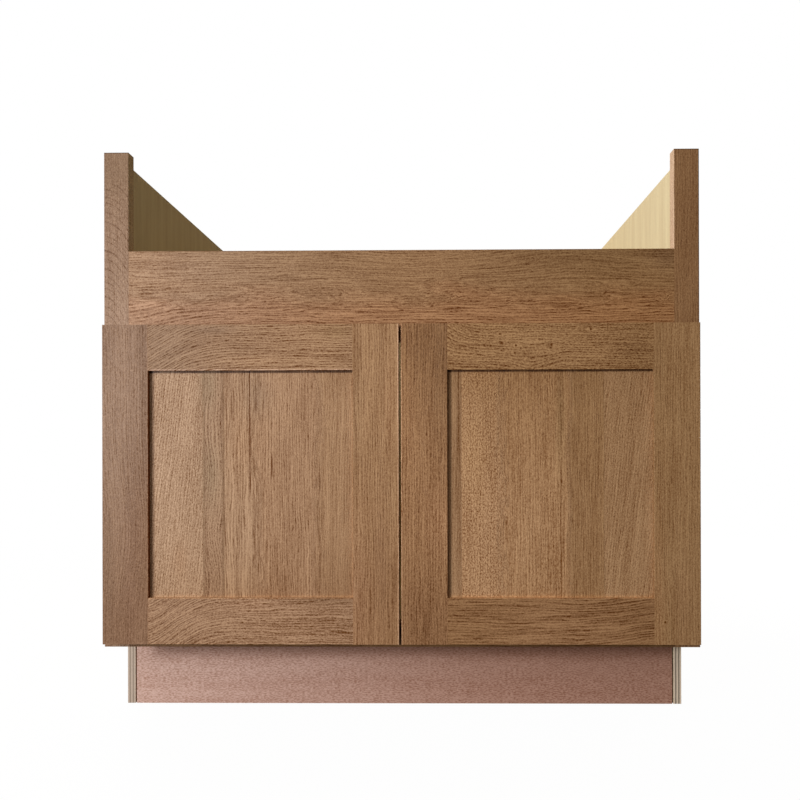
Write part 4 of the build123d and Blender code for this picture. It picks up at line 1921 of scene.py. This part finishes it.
    def _right_boards(self) -> Iterator[tuple[str, Oak]]:
        """The oak of the right door's boards.

        Yields:
            Each board's node and its oak.
        """
        low, high = self.bottom, self.top
        rail_low, rail_high = low + self.member, high - self.member
        yield self._oak(
            "hinge_stile",
            Leaf(Tone.R_HINGE_STILE, dash=0.33, length=12 * MM, streak=0.5, band=0.35),
            seed=12.0,
            knots=(Knot(0.158, 0.397),),
            patches=(
                Patch(0.57, 0.388, 0.09, 0.012, (0.84, 0.81, 0.77)),
                Patch(0.2, 0.386, 0.14, 0.01, (1.06, 1.03, 1.04)),
                Patch(0.19, 0.424, 0.07, 0.013, (0.88, 0.84, 0.83)),
            ),
        )
        yield self._oak(
            "meeting_stile",
            Leaf(Tone.R_MEETING_STILE, dash=0.55, length=9 * MM, fleck=0.6, streak=0.6, band=0.6),
            seed=13.0,
            patches=(
                Patch(0.58, 0.03, 0.1, 0.1, (0.76, 0.73, 0.67)),
                Patch(0.13, 0.03, 0.1, 0.1, (0.84, 0.82, 0.82)),
                Patch(0.31, 0.06, 0.055, 0.02, (1.17, 1.18, 1.25)),
                Patch(0.52, 0.063, 0.12, 0.012, (0.86, 0.85, 0.84)),
                Patch(0.5, 0.009, 0.12, 0.012, (1.1, 1.09, 1.08)),
            ),
            # A painted highlight along the meeting edge, partly edge wear; the wall beside the
            # panel darkened as painted shade.
            rims=(Rim(True, self.meeting_edge, 1.8 * MM, Rim.WORN_HIGHLIGHT),),
            high_side=(0.8, 0.48, 0.26),
        )
        yield self._oak(
            "top_rail",
            Leaf(Tone.R_TOP_RAIL, dash=0.82, length=7 * MM, fleck=0.95, streak=0.85),
            seed=14.0,
            bows=(Bow(0.06, 0.03, -0.02, high, 0.03), Bow(0.2, 0.03, 0.01, 0.545, 0.02)),
            knots=(
                Knot(0.1505, 0.5908),
                Knot(0.1746, 0.5736, 0.0015),
                Knot(0.1526, 0.5662),
                Knot(0.173, 0.5624),
                Knot(0.1534, 0.5773, 0.0008),
                Knot(0.228, 0.5745, 0.0012),
                Knot(0.227, 0.57, 0.0009),
                Knot(0.287, 0.5975, 0.0013),
            ),
            patches=(
                Patch(0.38, 0.57, 0.06, 0.1, (0.92, 0.92, 0.89)),
                Patch(0.34, 0.572, 0.025, 0.014, (0.88, 0.85, 0.83)),
            ),
            # A painted highlight along the lower edge, partly edge wear; painted shade on the
            # underside.
            rims=(Rim(True, rail_high, 1.4 * MM, Rim.RUBBED_HIGHLIGHT),),
            low_side=(0.7, 0.58, 0.46),
        )
        yield self._oak(
            "bottom_rail",
            Leaf(Tone.R_BOTTOM_RAIL, dash=0.88, length=15 * MM, fleck=0.6, streak=1.1),
            seed=15.0,
            fibre_width=3.0 * MM,
            bows=(Bow(0.4, 0.07, -0.012),),
            patches=(Patch(0.24, low, 0.1, 0.07, (1.13, 1.15, 1.24)),),
            # A painted highlight along the lower edge, partly edge wear, and on the upper face.
            rims=(Rim(True, low, 2.0 * MM, Rim.RUBBED_HIGHLIGHT),),
            high_side=(2.05, 2.2, 2.35),
        )
        yield self._oak(
            "panel",
            Leaf(Tone.R_STRIP, dash=0.35, length=9 * MM, streak=0.5, band=0.8),
            Leaf(
                Tone.R_FLECKED, 0.0925, dash=0.25, length=3 * MM, fleck=1.25, streak=0.2, band=0.3
            ),
            Leaf(Tone.R_STREAKED, 0.155, 0.01, dash=0.42, length=10 * MM, fleck=0.6, streak=0.7),
            Leaf(Tone.R_GREYER, 0.255, 0.006, dash=0.4, length=10 * MM, streak=0.7),
            Leaf(
                Tone.R_LEANING, 0.308, slant=-0.12, dash=0.4, length=9 * MM, fleck=0.6, streak=0.6
            ),
            seed=16.0,
            patches=(
                Patch(0.53, 0.19, 0.11, 0.14, (0.84, 0.815, 0.76)),
                Patch(0.29, 0.18, 0.12, 0.12, (1.06, 1.08, 1.13)),
                Patch(0.54, 0.12, 0.04, 0.05, (0.9, 0.87, 0.8)),
                Patch(0.4, 0.11, 0.07, 0.02, (1.08, 1.1, 1.08)),
                Patch(0.46, 0.243, 0.09, 0.008, (0.84, 0.86, 0.83)),
                Patch(0.52, 0.34, 0.02, 0.012, (0.88, 0.86, 0.83)),
            ),
            streaks=(
                Streak(0.088, 0.42, 0.56, 0.002, 0.3),
                Streak(0.12, 0.2, 0.4, 0.0014, 0.12),
                Streak(0.2437, 0.18, 0.4, 0.0014, 0.3),
                Streak(0.301, 0.36, 0.44, 0.0014, 0.2),
            ),
            # A painted shadow under the top rail and a painted highlight along the lower edge.
            rims=(
                Rim(False, rail_high, 3.4 * MM, Rim.PAINTED_DEEP_SHADE, 0.65),
                Rim(False, rail_low, 6.0 * MM, Rim.RUBBED_HIGHLIGHT, 0.0),
            ),
        )


# ------------------------------------------------------------------------ studio
@dataclass(frozen=True)
class Lamp:
    """A soft rectangular lamp that looks at the cabinet.

    Attributes:
        name: the lamp's name.
        place: where it stands.
        aim: the point that it looks at.
        size: its width and height.
        power: its power in watts.
        tint: the colour of its light.
    """

    name: str
    place: tuple[float, float, float]
    aim: tuple[float, float, float]
    size: tuple[float, float]
    power: float
    tint: Colour = WHITE

    def build(self) -> None:
        """Stands the lamp in the studio."""
        data = bpy.data.lights.new(self.name, "AREA")
        data.shape = "RECTANGLE"
        data.size, data.size_y = self.size
        data.energy = self.power
        data.color = self.tint
        lamp = bpy.data.objects.new(self.name, data)
        lamp.location = self.place
        look = Vector(self.aim) - Vector(self.place)
        lamp.rotation_euler = look.to_track_quat("-Z", "Y").to_euler()
        bpy.context.scene.collection.objects.link(lamp)


@dataclass(frozen=True)
class Studio:
    """The camera, the pale floor, the lamps and the surround.

    Attributes:
        eye: where the camera stands.
        turn: its pitch, roll and yaw away from looking level along +Y, in degrees.
        focal: its focal length in pixels of the picture.
        centre: where the lens's axis meets the picture, in pixels from the upper left.
        picture: the picture's side in pixels.
        sensor: the sensor's width in millimetres.
        floor_radius: how far the floor reaches.
        floor_tones: the floor as it lights the cabinet, and as the camera sees it.
        fill: the colour of the surround's light on the cabinet.
        fill_strength: how strong that light is.
        lamps: the lamps.
    """

    eye: tuple[float, float, float] = (0.051658, -1.394025, 0.429624)
    turn: tuple[float, float, float] = (-0.070, -0.136, -0.669)
    focal: float = 716.881
    centre: tuple[float, float] = (425.919, 440.521)
    picture: float = 800.0
    sensor: float = 36.0
    floor_radius: float = 12.0
    floor_tones: tuple[Colour, Colour] = ((0.15, 0.15, 0.15), (0.9, 0.9, 0.9))
    fill: Colour = (1.0, 0.82, 0.58)
    fill_strength: float = 0.22
    lamps: tuple[Lamp, ...] = (
        Lamp("window", (-1.7, -1.95, 0.6), (0.0, -0.3, 0.45), (0.7, 0.45), 50.0, (0.93, 0.98, 1.0)),
        Lamp("upper", (-1.0, -2.2, 1.7), (0.0, -0.3, 0.45), (1.0, 1.0), 14.0, (0.97, 0.98, 1.0)),
        Lamp("rear", (-1.5, 1.1, 1.7), (0.2, 0.0, 0.7), (1.2, 1.0), 34.0, (1.0, 0.97, 0.92)),
        Lamp("behind", (1.9, 1.9, 0.5), (0.2, 0.1, 0.42), (1.0, 0.6), 55.0),
    )

    def build(self) -> None:
        """Builds the studio round the cabinet."""
        self._camera()
        self._floor()
        self._surround()
        for lamp in self.lamps:
            lamp.build()
        view = bpy.context.scene.view_settings
        view.view_transform = "Standard"
        view.look = "None"

    def _camera(self) -> None:
        """Stands the camera where the photograph was taken."""
        data = bpy.data.cameras.new("camera")
        data.sensor_width = self.sensor
        data.lens = self.focal / self.picture * self.sensor
        data.shift_x = -(self.centre[0] - self.picture / 2) / self.picture
        data.shift_y = (self.centre[1] - self.picture / 2) / self.picture
        data.clip_start, data.clip_end = 0.05, 100.0
        camera = bpy.data.objects.new("camera", data)
        bpy.context.scene.collection.objects.link(camera)
        away = Euler([math.radians(angle) for angle in self.turn], "XYZ").to_matrix().transposed()
        level = Matrix.Rotation(math.pi / 2, 3, "X")
        camera.matrix_world = Matrix.Translation(self.eye) @ (away @ level).to_4x4()
        bpy.context.scene.camera = camera

    def _floor(self) -> None:
        """Lays the pale floor, which runs out into the white surround."""
        Bench.clear()
        bpy.ops.mesh.primitive_circle_add(
            vertices=96, radius=self.floor_radius, fill_type="NGON"
        )
        floor = bpy.context.active_object
        floor.name = "studio_floor"
        s = Shader("studio_floor")
        x, y, _ = s.place
        speckle = s.noise((x * 60.0, y * 60.0, 0.0)) * 0.01
        seen = s.node("ShaderNodeLightPath", output="Is Camera Ray")
        s.finish(s.mix(seen + speckle, *self.floor_tones), 0.8)
        glow = s.node("ShaderNodeEmission", {}, {"Color": WHITE, "Strength": 1.0})
        share = seen * (x.spanned(y).over(0.9, 2.4) * 0.02 + 0.98)
        board = Wire(s, s.surface.outputs[0])
        s.plug(s.end, s.node("ShaderNodeMixShader", {}, (share, board, glow)))
        Bench.coat(floor, s.material)

    def _surround(self) -> None:
        """Makes the surround white to the camera and dimmer, a little warm, to the cabinet."""
        world = bpy.data.worlds.new("surround")
        bpy.context.scene.world = world
        world.use_nodes = True
        sky = Nodes(world.node_tree)
        seen = sky.node("ShaderNodeLightPath", output="Is Camera Ray")
        shades = ((self.fill, self.fill_strength), (WHITE, 1.0))
        fill, white = (sky.node("ShaderNodeBackground", {}, shade) for shade in shades)
        end = sky.tree.nodes.new("ShaderNodeOutputWorld").inputs["Surface"]
        sky.plug(end, sky.node("ShaderNodeMixShader", {}, (seen, fill, white)))


def main() -> None:
    """Loads the frame, dresses each sub-assembly in order and sets up the studio."""
    logging.basicConfig(level=logging.INFO, format="%(message)s")
    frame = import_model()
    nodes = frame["nodes"]
    assemblies: tuple[Assembly, ...] = (
        Carcass(nodes),
        FaceFrame(nodes),
        HingeArms(nodes),
        Door(nodes, Hand.LEFT),
        Door(nodes, Hand.RIGHT),
    )
    for assembly in assemblies:
        for name in assembly.build():
            LOG.info("%s: %s", type(assembly).__name__, name)
    Studio().build()


if __name__ == "__main__":
    main()
